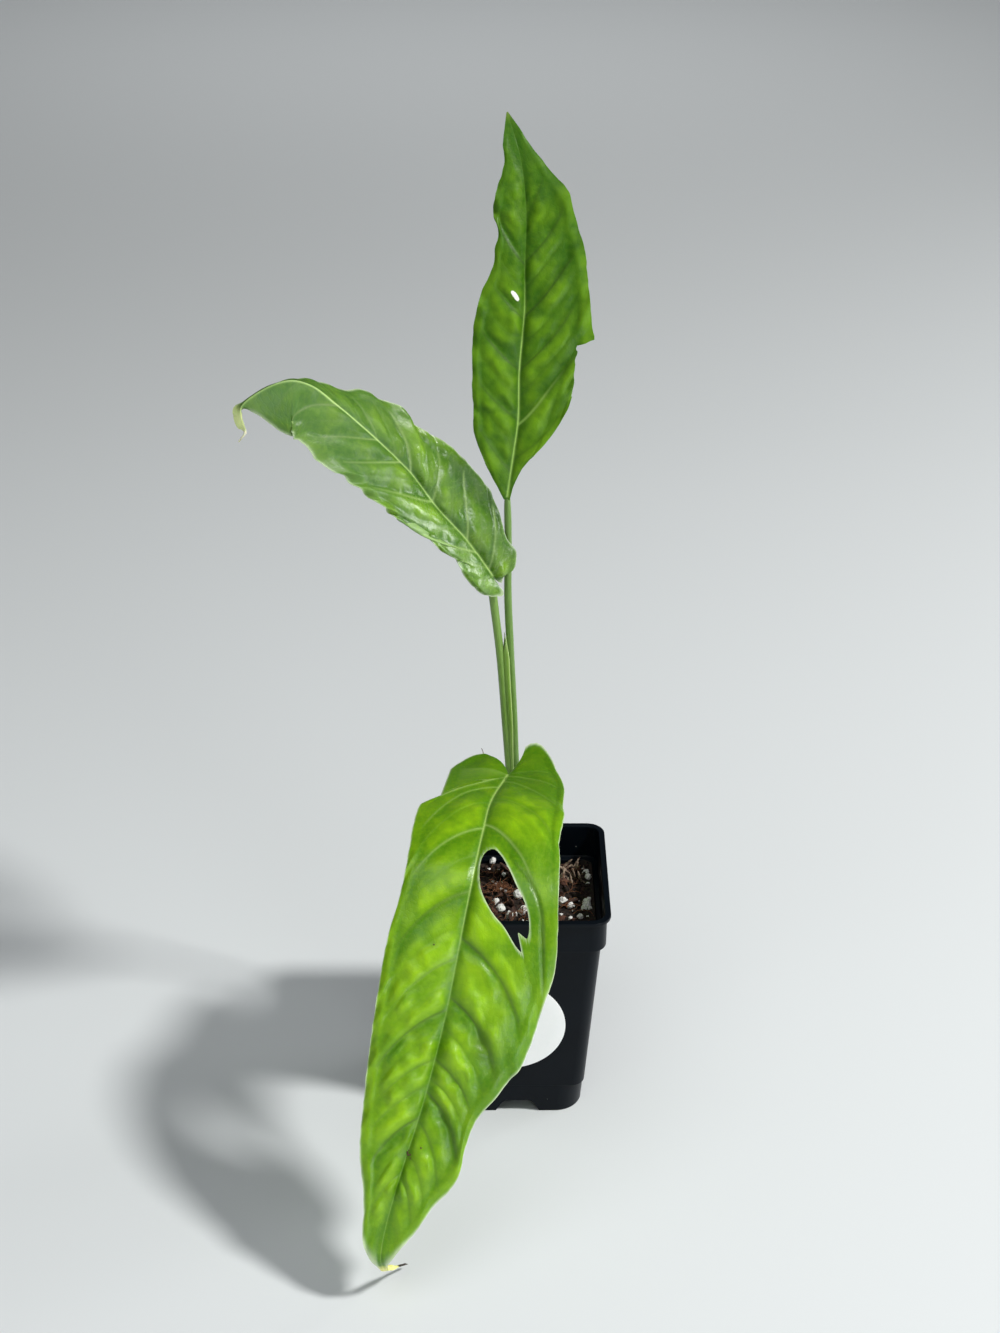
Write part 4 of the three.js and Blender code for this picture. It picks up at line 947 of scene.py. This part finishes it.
def blade(name, leaf, material, node):
    length = leaf["bend"].length
    vein_bases = [base for half in ("left", "right") for base, _, strength in leaf[half]["veins"][1:-1]
                  if strength > 0.2 and base > 2.5]
    rows = list(np.linspace(0, 2.2, 34)) + list(np.arange(3.0, length, 1.0)) + [length]
    for vein_base in vein_bases:
        rows = [r for r in rows if abs(r - vein_base) > 0.62 or r < 2.5]
        rows += [vein_base - 0.36, vein_base, vein_base + 0.36]
    rows = np.array(sorted(set(np.round(rows, 3))))
    rows = rows[np.concatenate([[True], np.diff(rows) > 0.05])]
    left, right = half_blade(leaf, leaf["left"], rows, -1), half_blade(leaf, leaf["right"], rows, 1)
    values = {key: np.concatenate([left[key][:, :0:-1], right[key]], axis=1) for key in left}
    deep, wide = values["t"].shape
    values = {key: value.reshape(-1) for key, value in values.items()}
    values["relief"] = values["relief"] * stepped(0, TIP_TAPER, length - values["t"])
    faces = [[i * wide + j, (i + 1) * wide + j, (i + 1) * wide + j + 1, i * wide + j + 1]
             for i in range(deep - 1) for j in range(wide - 1)]
    if "window" in leaf:
        window_off = outline_distance(np.stack([values["t"], values["w"]], -1), leaf["window"])
        values["edge"] = np.minimum(values["edge"], np.abs(window_off) * 0.8)
        faces = cut_window(values, faces, window_off)
    used = np.zeros(len(values["t"]), dtype=bool)
    used[[v for face in faces for v in face]] = True
    renumber = np.cumsum(used) - 1
    faces = [[int(renumber[v]) for v in face] for face in faces]
    values = {key: value[used] for key, value in values.items()}
    t, w, vein = values["t"], values["w"], values["vein"]
    middle = on_leaf(leaf, t, w, values["relief"])
    rim = np.exp(-(values["edge"] / RIM_WIDE) ** 2)
    narrow = 1 - 0.7 * values["u"]
    rib = np.exp(-(w / (0.16 + 0.36 * narrow)) ** 2) * stepped(-0.4, 0.6, t)
    in_tip = stepped(leaf["tip_from"], leaf["tip_from"] + TIP_BLEND, t) * (
        1 - stepped(length - TIP_TAPER, length - TIP_BLEND, t))
    thin = BLADE_HALF_THICK * (1 - 0.55 * rim) + leaf["tip_thickness"] * in_tip
    under_ribs = 1.25 * narrow * np.exp(-(w / (0.45 + 0.6 * narrow)) ** 2) + 0.32 * vein
    under_ribs = under_ribs * stepped(-1.5, 1.0, t) * (1 - rim)
    points, skin = sheet_between(middle, surface_normals(middle, faces), thin, thin + under_ribs, faces)
    piece = shaped(name, points, skin, material)
    shows = leaf["veins_show"](t, w)
    # The crease mark paints shade into the sunken veins and pockets, and the rim mark paints a highlight along
    # the edge.
    marks = {"along": t, "across": w, "swell_shade": values["swell_shade"], "ripple": values["ripple"], "vein": vein * shows,
             "crease": np.maximum(vein * (1 - shows), leaf["pockets"](t, w)), "rib": rib * leaf["rib_shows"](t),
             "rim": rim * leaf["rim_highlight"]}
    for key, value in marks.items():
        mark(piece, key, np.tile(value, 2).astype(np.float32))
    mark(piece, "under", np.repeat([0.0, 1.0], len(middle)).astype(np.float32))
    shade(piece, 70)
    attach(piece, "root")
    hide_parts(node)
    return piece


def rounded(corners, sharp, fine=7):
    """A closed outline through flat corners, smooth except at the sharp ones."""
    corners = [np.array(c, dtype=float) for c in corners]
    count, result = len(corners), []
    for k in range(count):
        p1, p2 = corners[k], corners[(k + 1) % count]
        p0 = 2 * p1 - p2 if k in sharp else corners[k - 1]
        p3 = 2 * p2 - p1 if (k + 1) % count in sharp else corners[(k + 2) % count]
        for s in np.arange(fine) / fine:
            result.append(0.5 * (2 * p1 + (p2 - p0) * s + (2 * p0 - 5 * p1 + 4 * p2 - p3) * s ** 2
                                 + (3 * p1 - p0 - 3 * p2 + p3) * s ** 3))
    return np.array(result)


def eased(x, w, *rows):
    """One, less the amount of each row where w and x are past its ranges: (amount, w range, x ranges)."""
    kept = 1.0
    for amount, w_range, *x_ranges in rows:
        within = stepped(*w_range, w)
        for x_range in x_ranges:
            within = within * stepped(*x_range, x)
        kept = kept * (1 - amount * within)
    return kept


def furrow(across_way, wide, amount=1.0):
    """A smooth hollow of an amount, by the distance across it."""
    return amount * np.exp(-(across_way / wide) ** 2)


# Front blade: the oldest and largest, bright yellow-green, arching over the lip and down to the ground, with a
# torn-edged window beside its midrib and a yellowed drip tip. A crease runs past the window to the margin.
crease_t, crease_w = (66, 69.5, 74, 79.5, 85, 94.5, 114), (13, 17, 22.5, 27, 29.5, 31.5, 35.5)
front_leaf = {
    "bend": Bend([(-4.6, -12, 169.6), (-11.7, -40, 173.5), (-14.7, -62, 174), (-18.3, -83, 167.3),
                  (-22.8, -97, 149.6), (-27.4, -109, 128.7), (-32.1, -118, 109.6), (-40.1, -129, 82),
                  (-47.3, -138, 61.2), (-54.1, -146, 37.5), (-55.7, -149, 26.5), (-55, -146, 19),
                  (-53, -140, 12.5), (-50, -133, 6.5), (-47.2, -129.3, 4.0)]),
    "facing": [(0, 0, 0, 1), (0.3, 0, -0.35, 1), (0.5, 0, -1, 0.6), (0.85, 0, -1, 0.3), (1, 0, -0.6, -0.8)],
    "fold_left": [(0, 0.12), (1, 0.12)], "fold_right": [(0, 0.12), (1, 0.12)], "droop": 0.004,
    "sweep": (0.22, 0.64), "quilt": 2.7, "wave": 0.8, "waves": 9, "seed": 2.3,
    # The last of these sets how strongly the painted highlight shows along the rim.
    "tip_from": 240, "tip_thickness": 0.7, "dull_edge": 0.15, "uneven": 0.4, "ragged": 0.22, "rim_highlight": 0.85,
    "ripple": lambda u: 0.15 + 0.75 * stepped(0.28, 0.45, u),
    "calm": lambda u, w: (0.45 + 0.2 * stepped(0.03, 0.2, u) + 0.35 * stepped(0.36, 0.52, u)) * eased(
        u, w, (0.7, (-10, -18), (0.25, 0.18)), (0.65, (12, 20), (0.2, 0.26), (0.46, 0.4)),
        (0.6, (22, 27), (0.2, 0.24), (0.38, 0.33)), (0.6, (-1, -6), (0.15, 0.19), (0.42, 0.34))),
    # Light-green share: low on the base lobes and in the pocket under the fold, which paints their shade, and
    # lower on the strip beside the window.
    "light_green_share": lambda t, w: (0.22 + 0.38 * stepped(8, 45, t) + 0.4 * stepped(70, 105, t)) * eased(
        t, w, (0.45, (10, 20), (45, 65), (125, 108)), (0.75, (8, 22), (115, 145), (188, 172))),
    "rib_shows": lambda t: 0.85 - 0.65 * stepped(60, 130, t),
    "veins_show": lambda t, w: 0.6 - 0.5 * stepped(55, 100, t),
    # Hollows that also paint shade: below two side veins on the right, over the base lobes and along the crease
    # beside the window.
    "pockets": lambda t, w: (
        furrow(t - 120 - 1.17 * w, 4.5, 0.6) * stepped(9, 16, w) * stepped(31, 24, w)
        + furrow(t - 160 - 1.25 * w, 4, 0.5) * stepped(5, 10, w) * stepped(22, 17, w) + 0.35 * stepped(34, 4, t)
        + furrow(w - np.interp(t, crease_t, crease_w), 0.9, 0.7) * stepped(60, 70, t) * stepped(122, 108, t)),
    "left": {
        "lobe_bend": (-9, 3), "tuck": (37, 8, 12, 8),
        "outline": [(-12.6, 14.2), (-11, 17.8), (-6.8, 21.2), (0, 23.9), (10, 24), (20, 22.4), (27, 21.2),
                    (31, 21), (33, 22.5), (35.5, 26.5), (37.5, 28.2), (52, 28.5), (75, 27.3), (90, 27.3),
                    (106, 28.6), (125, 28.3), (150, 26.4), (180, 21.8), (195, 18), (207, 13), (218, 9.8),
                    (226, 8.6), (231, 6.9), (235.5, 4.2), (240, 2.2), (247, 1.5), (254, 1.2), (262, 0.9),
                    (271, 0.3)],
        "veins": [(0, -13, 0), (0.8, 5, 0.5), (2, 37, 0.55), (14.7, 66, 0.75), (31, 78, 0.3),
                  (50.7, 88, 0.9), (66, 103, 0.3), (81.4, 118, 1.0), (95, 132, 0.25), (108, 146, 0.55),
                  (118, 155, 0.25), (128.9, 165, 0.95), (139, 173, 0.25), (149, 181, 0.5), (160, 191, 0.45),
                  (174.1, 203, 1.0), (186, 212, 0.3), (197, 222, 0.4), (216, 238, 0.4), (271, 271, 0)],
    },
    "right": {
        "lobe_bend": (-14, 3.4),
        "outline": [(-20.2, 2.6), (-22.2, 4.6), (-22.6, 7.4), (-20.6, 11), (-16, 14.8), (-8, 19.4), (3, 25),
                    (12, 27.5), (24, 29.4), (36, 31.4), (54, 31.2), (62, 32.5), (76, 34.4), (90, 37),
                    (107, 38.7), (121, 36.7), (143, 34), (151, 30.2), (160, 26), (168, 22.3), (180, 21),
                    (190, 22), (197, 21), (210, 15.2), (222, 11.4), (229, 7.6), (236, 4.4), (241, 2.3),
                    (247, 1.5), (254, 1.2), (262, 0.9), (271, 0.3)],
        "veins": [(0, -22.5, 0), (0.8, -4, 0.3), (2, 10, 0.5), (8, 34, 0.55), (27, 60, 0.35),
                  (48.2, 112, 1.0), (76, 127, 0.35), (100, 140, 0.9), (123.7, 156, 1.0), (136, 163, 0.3),
                  (149, 171, 0.7), (157, 179, 0.4), (163, 191, 1.0), (175, 205, 0.5), (188, 214, 0.3),
                  (199, 223, 0.4), (216, 238, 0.4), (271, 271, 0)],
    },
    "window": rounded([(63, 6), (64.5, 3.2), (68, 1.8), (74, 2.2), (80.5, 4.5), (88, 10.7), (92.3, 16),
                       (98.8, 21.6), (101.5, 24.8), (98, 23.4), (93.2, 21.6), (95.6, 25.8), (91.8, 26),
                       (86, 24.5), (80.9, 21.6), (76, 17.4), (70.6, 13.3), (65.1, 9)], (8, 10, 11)),
}
front_skin = leaf_skin("front leaf", high=(0.25, 0.475, 0.004), low=(0.07, 0.205, 0.001), pale=(0.4, 0.6, 0.15),
                       under=(0.2, 0.36, 0.07), tip=(0.82, 0.82, 0.26), dry=(0.03, 0.02, 0.012), tip_from=240,
                       length=front_leaf["bend"].length, roughness=0.33, gloss=0.38, matte=(92, 122, 0, 0.07))
blade_front = blade("front_blade", front_leaf, front_skin, "blade_front")


def spots_on(blade_piece, rows):
    """Points on a blade's upper face from (along, across, size) rows, with the size kept in metres."""
    mesh = blade_piece.data
    read = {}
    for key in ("along", "across", "under"):
        read[key] = np.empty(len(mesh.vertices), dtype=np.float32)
        mesh.attributes[key].data.foreach_get("value", read[key])
    piece = bpy.data.objects.new("mix_specks", bpy.data.meshes.new("mix_specks"))
    spots = []
    for t, w, size in rows:
        away = np.hypot(read["along"] - t, read["across"] - w) + 9 * read["under"]
        nearest = mesh.vertices[int(np.argmin(away))]
        spots.append(nearest.co + 0.4 * MM * size * nearest.normal)
    piece.data.from_pydata(spots, [], [])
    bpy.context.scene.collection.objects.link(piece)
    mark(piece, "size", [size * MM for _, _, size in rows])
    return piece


# Specks of mix that fell on the front blade.
specks = spots_on(blade_front, [(188.6, -0.4, 0.5), (189.6, 0.6, 0.55), (188.9, 1.5, 0.35), (190.8, 0.2, 0.3),
                                (190.4, 1.6, 0.4), (187.6, 0.4, 0.28), (184.6, 4.6, 0.4), (105, -9.5, 0.4)])
specks = grow_from(specks, lumps, Stretch=(1.0, 0.7, 0.6), Fineness=3, Dents=0.0005, Dent_Size=0.0006, Seed=11,
                   Material=bark_brown)
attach(specks, "root")

# Middle blade: glossy grey-green, leaning to the left with its far end turned over and a hanging drip tip.
middle_leaf = {
    "bend": Bend([(-10.7, 2, 256.7), (-21, -3, 274.7), (-33.4, -9, 292.7), (-42.7, -14, 308.8),
                  (-53.2, -20, 323.3), (-60.4, -25, 332.8), (-70.5, -31, 345.0), (-78.2, -36, 353.6),
                  (-85.8, -40.5, 357.3), (-95.2, -45.5, 355.6), (-103.2, -49.2, 350.3), (-103.6, -48.8, 346.5),
                  (-102.6, -47.5, 340), (-105.6, -46, 335.2)]),
    "facing": [(0, 0, -0.85, 0.5), (0.35, 0.2, -0.75, 0.6), (0.6, 0.3, -0.5, 0.8), (0.75, 0.3, -0.4, 0.9),
               (1, 0.3, -0.5, 0.8)],
    "fold_left": [(0, 0.1), (0.35, 0.1), (0.58, -0.1), (0.7, -0.4), (0.8, -1.3), (1, -1.6)],
    "fold_right": [(0, 0.5), (0.15, 0.8), (0.3, 0.75), (0.45, 0.3), (0.6, -0.2), (0.75, -0.9), (1, -1.1)],
    "droop": 0.003, "sweep": (0.42, 0.52), "quilt": 2.7, "wave": 1.1, "waves": 13, "seed": 5.1,
    "tip_from": 155, "tip_thickness": 0.35, "dull_edge": 0.2, "uneven": 0.35, "ragged": 0.35, "rim_highlight": 0.5,
    "ripple": lambda u: 0.6,
    "calm": lambda u, w: (1 - 0.4 * stepped(0.45, 0.62, u)) * eased(
        u, w, (0.65, (-3, -8), (0.4, 0.26)), (0.35, (0.5, 3), (0.09, 0.05))),
    # Light-green share: less on the far half near the base and towards the far end.
    "light_green_share": lambda t, w: eased(t, w, (0.3, (-1, -5), (66, 40)), (0.6, (-10, -14), (66, 48))) * (
        1 - 0.45 * stepped(66, 95, t)),
    "rib_shows": lambda t: 0.85 - 0.5 * stepped(110, 150, t),
    "veins_show": lambda t, w: 0.55 - 0.35 * stepped(60, 120, t),
    # A shallow hollow, painted darker, on the far half near the base, and a raised swell near the base of the
    # near half.
    "pockets": lambda t, w: (0.5 * stepped(-11, -14.5, w) * stepped(12, 22, t) * stepped(62, 48, t)
                             - 3.2 * furrow(t - 5, 6) * furrow(w - 8.5, 4.5)),
    "left": {
        "lobe_bend": (-2, -0.2),
        "outline": [(-3.9, 0.3), (-4.9, 0.7), (-4.6, 1.6), (-3.3, 3.2), (-2.7, 6), (-3.1, 8.4), (-1.2, 11),
                    (2, 12.9), (5, 13.7), (11, 13.6), (18, 16), (25, 19), (33, 21.2), (45, 21.4),
                    (56, 20.5), (64, 18.4), (72, 16.4), (82, 19), (90, 17.6), (99, 16.5), (105, 12.5),
                    (112, 10), (120, 8), (130, 6.5), (138, 5), (145, 3.4), (152, 2.2), (158, 1.6),
                    (164, 1.4), (168, 0.4)],
        "veins": [(0, -5, 0), (1.2, 12, 0.4), (4, 30, 0.85), (13, 42, 0.3), (22, 52, 1.0), (34, 58, 0.3),
                  (47, 65, 0.8), (64, 90, 0.9), (75, 97, 0.3), (86, 106, 0.6), (105, 124, 0.4),
                  (125, 140, 0.3), (168, 168, 0)],
    },
    "right": {
        "lobe_bend": (-4, 0.6),
        "outline": [(-7.9, 0.4), (-9.2, 0.8), (-9.4, 1.7), (-7.6, 3.6), (-5.1, 5.9), (-0.3, 8.5), (5, 9.5),
                    (11, 10.3), (17, 10.6), (26, 10.2), (37, 13.6), (52, 14), (60, 19.6), (67, 22.6),
                    (80, 24), (90, 25), (97, 23.3), (101, 24), (109, 21.1), (117, 17.6), (126, 15),
                    (134, 13.4), (141, 14), (146, 12.5), (150, 8.5), (153, 4.7), (156.5, 2.2), (162, 1.5),
                    (168, 0.4)],
        "veins": [(0, -10, 0), (1.2, 12, 0.4), (5, 34, 0.5), (14.5, 60, 0.9), (30, 74, 0.4), (47, 92, 0.9),
                  (59, 98, 0.3), (71, 106, 1.0), (86, 119, 1.0), (98, 128, 0.35), (110, 142, 1.0),
                  (130, 150, 0.4), (168, 168, 0)],
    },
}
middle_skin = leaf_skin("middle leaf", high=(0.165, 0.318, 0.022), low=(0.045, 0.13, 0.01),
                        pale=(0.42, 0.6, 0.2), under=(0.19, 0.32, 0.1), tip=(0.5, 0.58, 0.24),
                        dry=(0.72, 0.72, 0.5), tip_from=155, length=middle_leaf["bend"].length,
                        roughness=0.23, gloss=0.44, matte=(56, 84, 0, 0.24))
blade("middle_blade", middle_leaf, middle_skin, "blade_middle")

# Top blade: the youngest, deep green and upright, with a torn notch in its right margin and a papery spot.
top_leaf = {
    "bend": Bend([(-5.1, 4, 291.2), (-2.9, 6, 306.5), (-0.7, 9, 323), (-0.3, 13, 341.1), (1.7, 19, 365.1),
                  (1.8, 24, 381.4), (2.3, 31, 400.1), (0.1, 38, 419.8), (-5.2, 45, 436.2)]),
    "facing": [(0, 0, -1, 0.3), (1, 0, -1, 0.5)],
    "fold_left": [(0, 0.15), (1, 0.15)], "fold_right": [(0, 0.15), (1, 0.15)], "droop": 0.003,
    "sweep": (0.36, 0.54), "quilt": 2.0, "wave": 0.8, "waves": 7, "seed": 8.4,
    "tip_from": 149, "tip_thickness": 0.0, "dull_edge": 0.25, "uneven": 0.9, "ragged": 0.3, "rim_highlight": 0.0,
    "ripple": lambda u: 0.35,
    "calm": lambda u, w: 0.6 + 0.4 * stepped(0.05, 0.25, u),
    # Light-green share: less towards the tip.
    "light_green_share": lambda t, w: 1.08 - 0.28 * stepped(55, 110, t),
    "rib_shows": lambda t: 0.8 - 0.75 * stepped(60, 100, t),
    "veins_show": lambda t, w: 0.04 + (w < 0) * furrow(t - 31 - 1.4 * np.abs(w), 6, 0.75) * stepped(
        20, 8, np.abs(w)),
    "pockets": lambda t, w: 0 * t,
    "left": {
        "lobe_bend": (-1, 0.4),
        "outline": [(-1, 1.2), (5, 1.9), (14, 4.2), (24, 8.6), (34, 17), (40, 20.6), (47, 22.8), (54, 24.6),
                    (60, 26.2), (66.8, 28.3), (70, 27.3), (77, 26), (87, 24.7), (99, 23.3), (112, 18.7),
                    (120, 16.8), (128, 10.4), (138, 4.9), (148, 1.8), (152.5, 0.3)],
        "veins": [(0, -1, 0), (3, 12, 0.3), (16, 46, 0.6), (30, 71, 0.9), (41, 80, 0.4), (52, 88, 0.8),
                  (62, 95, 0.4), (73, 103, 1.0), (84, 111, 0.4), (94, 119, 0.7), (112, 130, 0.5),
                  (130, 142, 0.4), (152.6, 152.6, 0)],
    },
    "right": {
        "lobe_bend": (-1, 0.4),
        "outline": [(-1, 1.2), (4, 4.6), (14, 11.3), (26, 17.2), (43, 18.4), (57, 19.1), (70, 19.5),
                    (82, 17.3), (93, 12.2), (98, 12), (105, 11), (114, 13), (124, 10.6), (133, 6.8),
                    (141, 5.4), (148, 2.4), (152.5, 0.3)],
        "veins": [(0, -1, 0), (3, 12, 0.3), (11, 32, 0.7), (21, 42, 0.35), (32, 51, 0.8), (42, 60, 0.35),
                  (52, 70, 0.9), (62, 78, 0.4), (72, 88, 0.7), (83, 98, 0.4), (93, 111, 0.9),
                  (112, 126, 0.25), (130, 143, 0.4), (152.6, 152.6, 0)],
    },
    "window": np.array([(66.7, 34), (66.9, 28.6), (66.2, 26.8), (64.9, 24.6), (63.9, 21.6), (62.9, 20.8),
                        (61.8, 22.2), (60.2, 22.3), (58.6, 21.3), (56, 21.9), (52, 21.5), (48, 21.9),
                        (44, 21.1), (41, 20.6), (41, 34)]) * (1, -1),
}
top_skin = leaf_skin("top leaf", high=(0.115, 0.255, 0.006), low=(0.03, 0.105, 0.002), pale=(0.34, 0.54, 0.12),
                     under=(0.13, 0.26, 0.06), tip=(0.13, 0.2, 0.03), dry=(0.1, 0.1, 0.03), tip_from=149,
                     length=top_leaf["bend"].length + 14, roughness=0.42, gloss=0.17,
                     spot=(81.2, 3.8, 2.3, 0.8, 0.62))
blade("top_blade", top_leaf, top_skin, "blade_top")

# ---------------------------------------------------------------- floor, light and camera
# A plain pale floor and plain soft lamps: a key high on the right, a wide one overhead, low ones in front and
# on the right, a weak one on the left and one for the far floor. The camera stands where the photo's did.

floor_mesh = bpy.data.meshes.new("floor")
floor_mesh.from_pydata([(-6, -4, 0), (6, -4, 0), (6, 9, 0), (-6, 9, 0)], [], [[0, 1, 2, 3]])
floor = bpy.data.objects.new("floor", floor_mesh)
bpy.context.scene.collection.objects.link(floor)
floor_mesh.materials.append(new_skin("floor", Base_Color=(0.705, 0.74, 0.755, 1), Roughness=0.6)[0])

# Each lamp: name, place, where it is aimed, width, watts, colour
for name, at, aim, size, watts, colour in (
        ("key", (1.56, -0.6, 2.15), (0, 0, 0.15), 0.34, 63, (1, 0.985, 0.955)),
        ("front fill", (1.25, -1.8, 0.2), (0, 0, 0.08), 0.7, 15, (0.97, 0.985, 1)),
        ("left fill", (-1.3, -1.4, 0.5), (0, 0, 0.15), 0.8, 2, (0.97, 0.985, 1)),
        ("overhead", (-0.3, -0.9, 1.85), (0, 0, 0.15), 1.5, 11, (0.98, 0.99, 1)),
        ("rear right", (1.78, 0.92, 0.55), (0, 0, 0.3), 0.5, 9, (1, 1, 1)),
        ("low right", (1.7, 0.45, 0.2), (0, 0, 0.27), 0.38, 5, (1, 1, 1)),
        ("far floor", (0, 2.7, 1.6), (0, 4.1, 0), 2.2, 13, (1, 1, 1))):
    lamp = bpy.data.lights.new(name, "AREA")
    lamp.shape, lamp.size, lamp.energy, lamp.color = "DISK", size, watts, colour
    holder = bpy.data.objects.new(name, lamp)
    holder.location = at
    holder.rotation_euler = (Vector(aim) - Vector(at)).to_track_quat("-Z", "Y").to_euler()
    bpy.context.scene.collection.objects.link(holder)
world = bpy.data.worlds.new("studio")
world.use_nodes = True
world.node_tree.nodes["Background"].inputs["Color"].default_value = (0.95, 0.975, 1, 1)
world.node_tree.nodes["Background"].inputs["Strength"].default_value = 0.1
bpy.context.scene.world = world

FILM_LONG_SIDE, PHOTO_LONG_SIDE, FOCAL_PIXELS, CAMERA_TILT = 36, 1333, 2002, 28.2
lens = bpy.data.cameras.new("camera")
lens.sensor_width, lens.lens = FILM_LONG_SIDE, FILM_LONG_SIDE * FOCAL_PIXELS / PHOTO_LONG_SIDE
lens.clip_start, lens.clip_end = 0.01, 50
camera = bpy.data.objects.new("camera", lens)
camera.location = place((-8, -743, 614))
camera.rotation_euler = (math.radians(90 - CAMERA_TILT), 0, 0)
bpy.context.scene.collection.objects.link(camera)
bpy.context.scene.camera = camera
bpy.context.scene.view_settings.view_transform = "Standard"
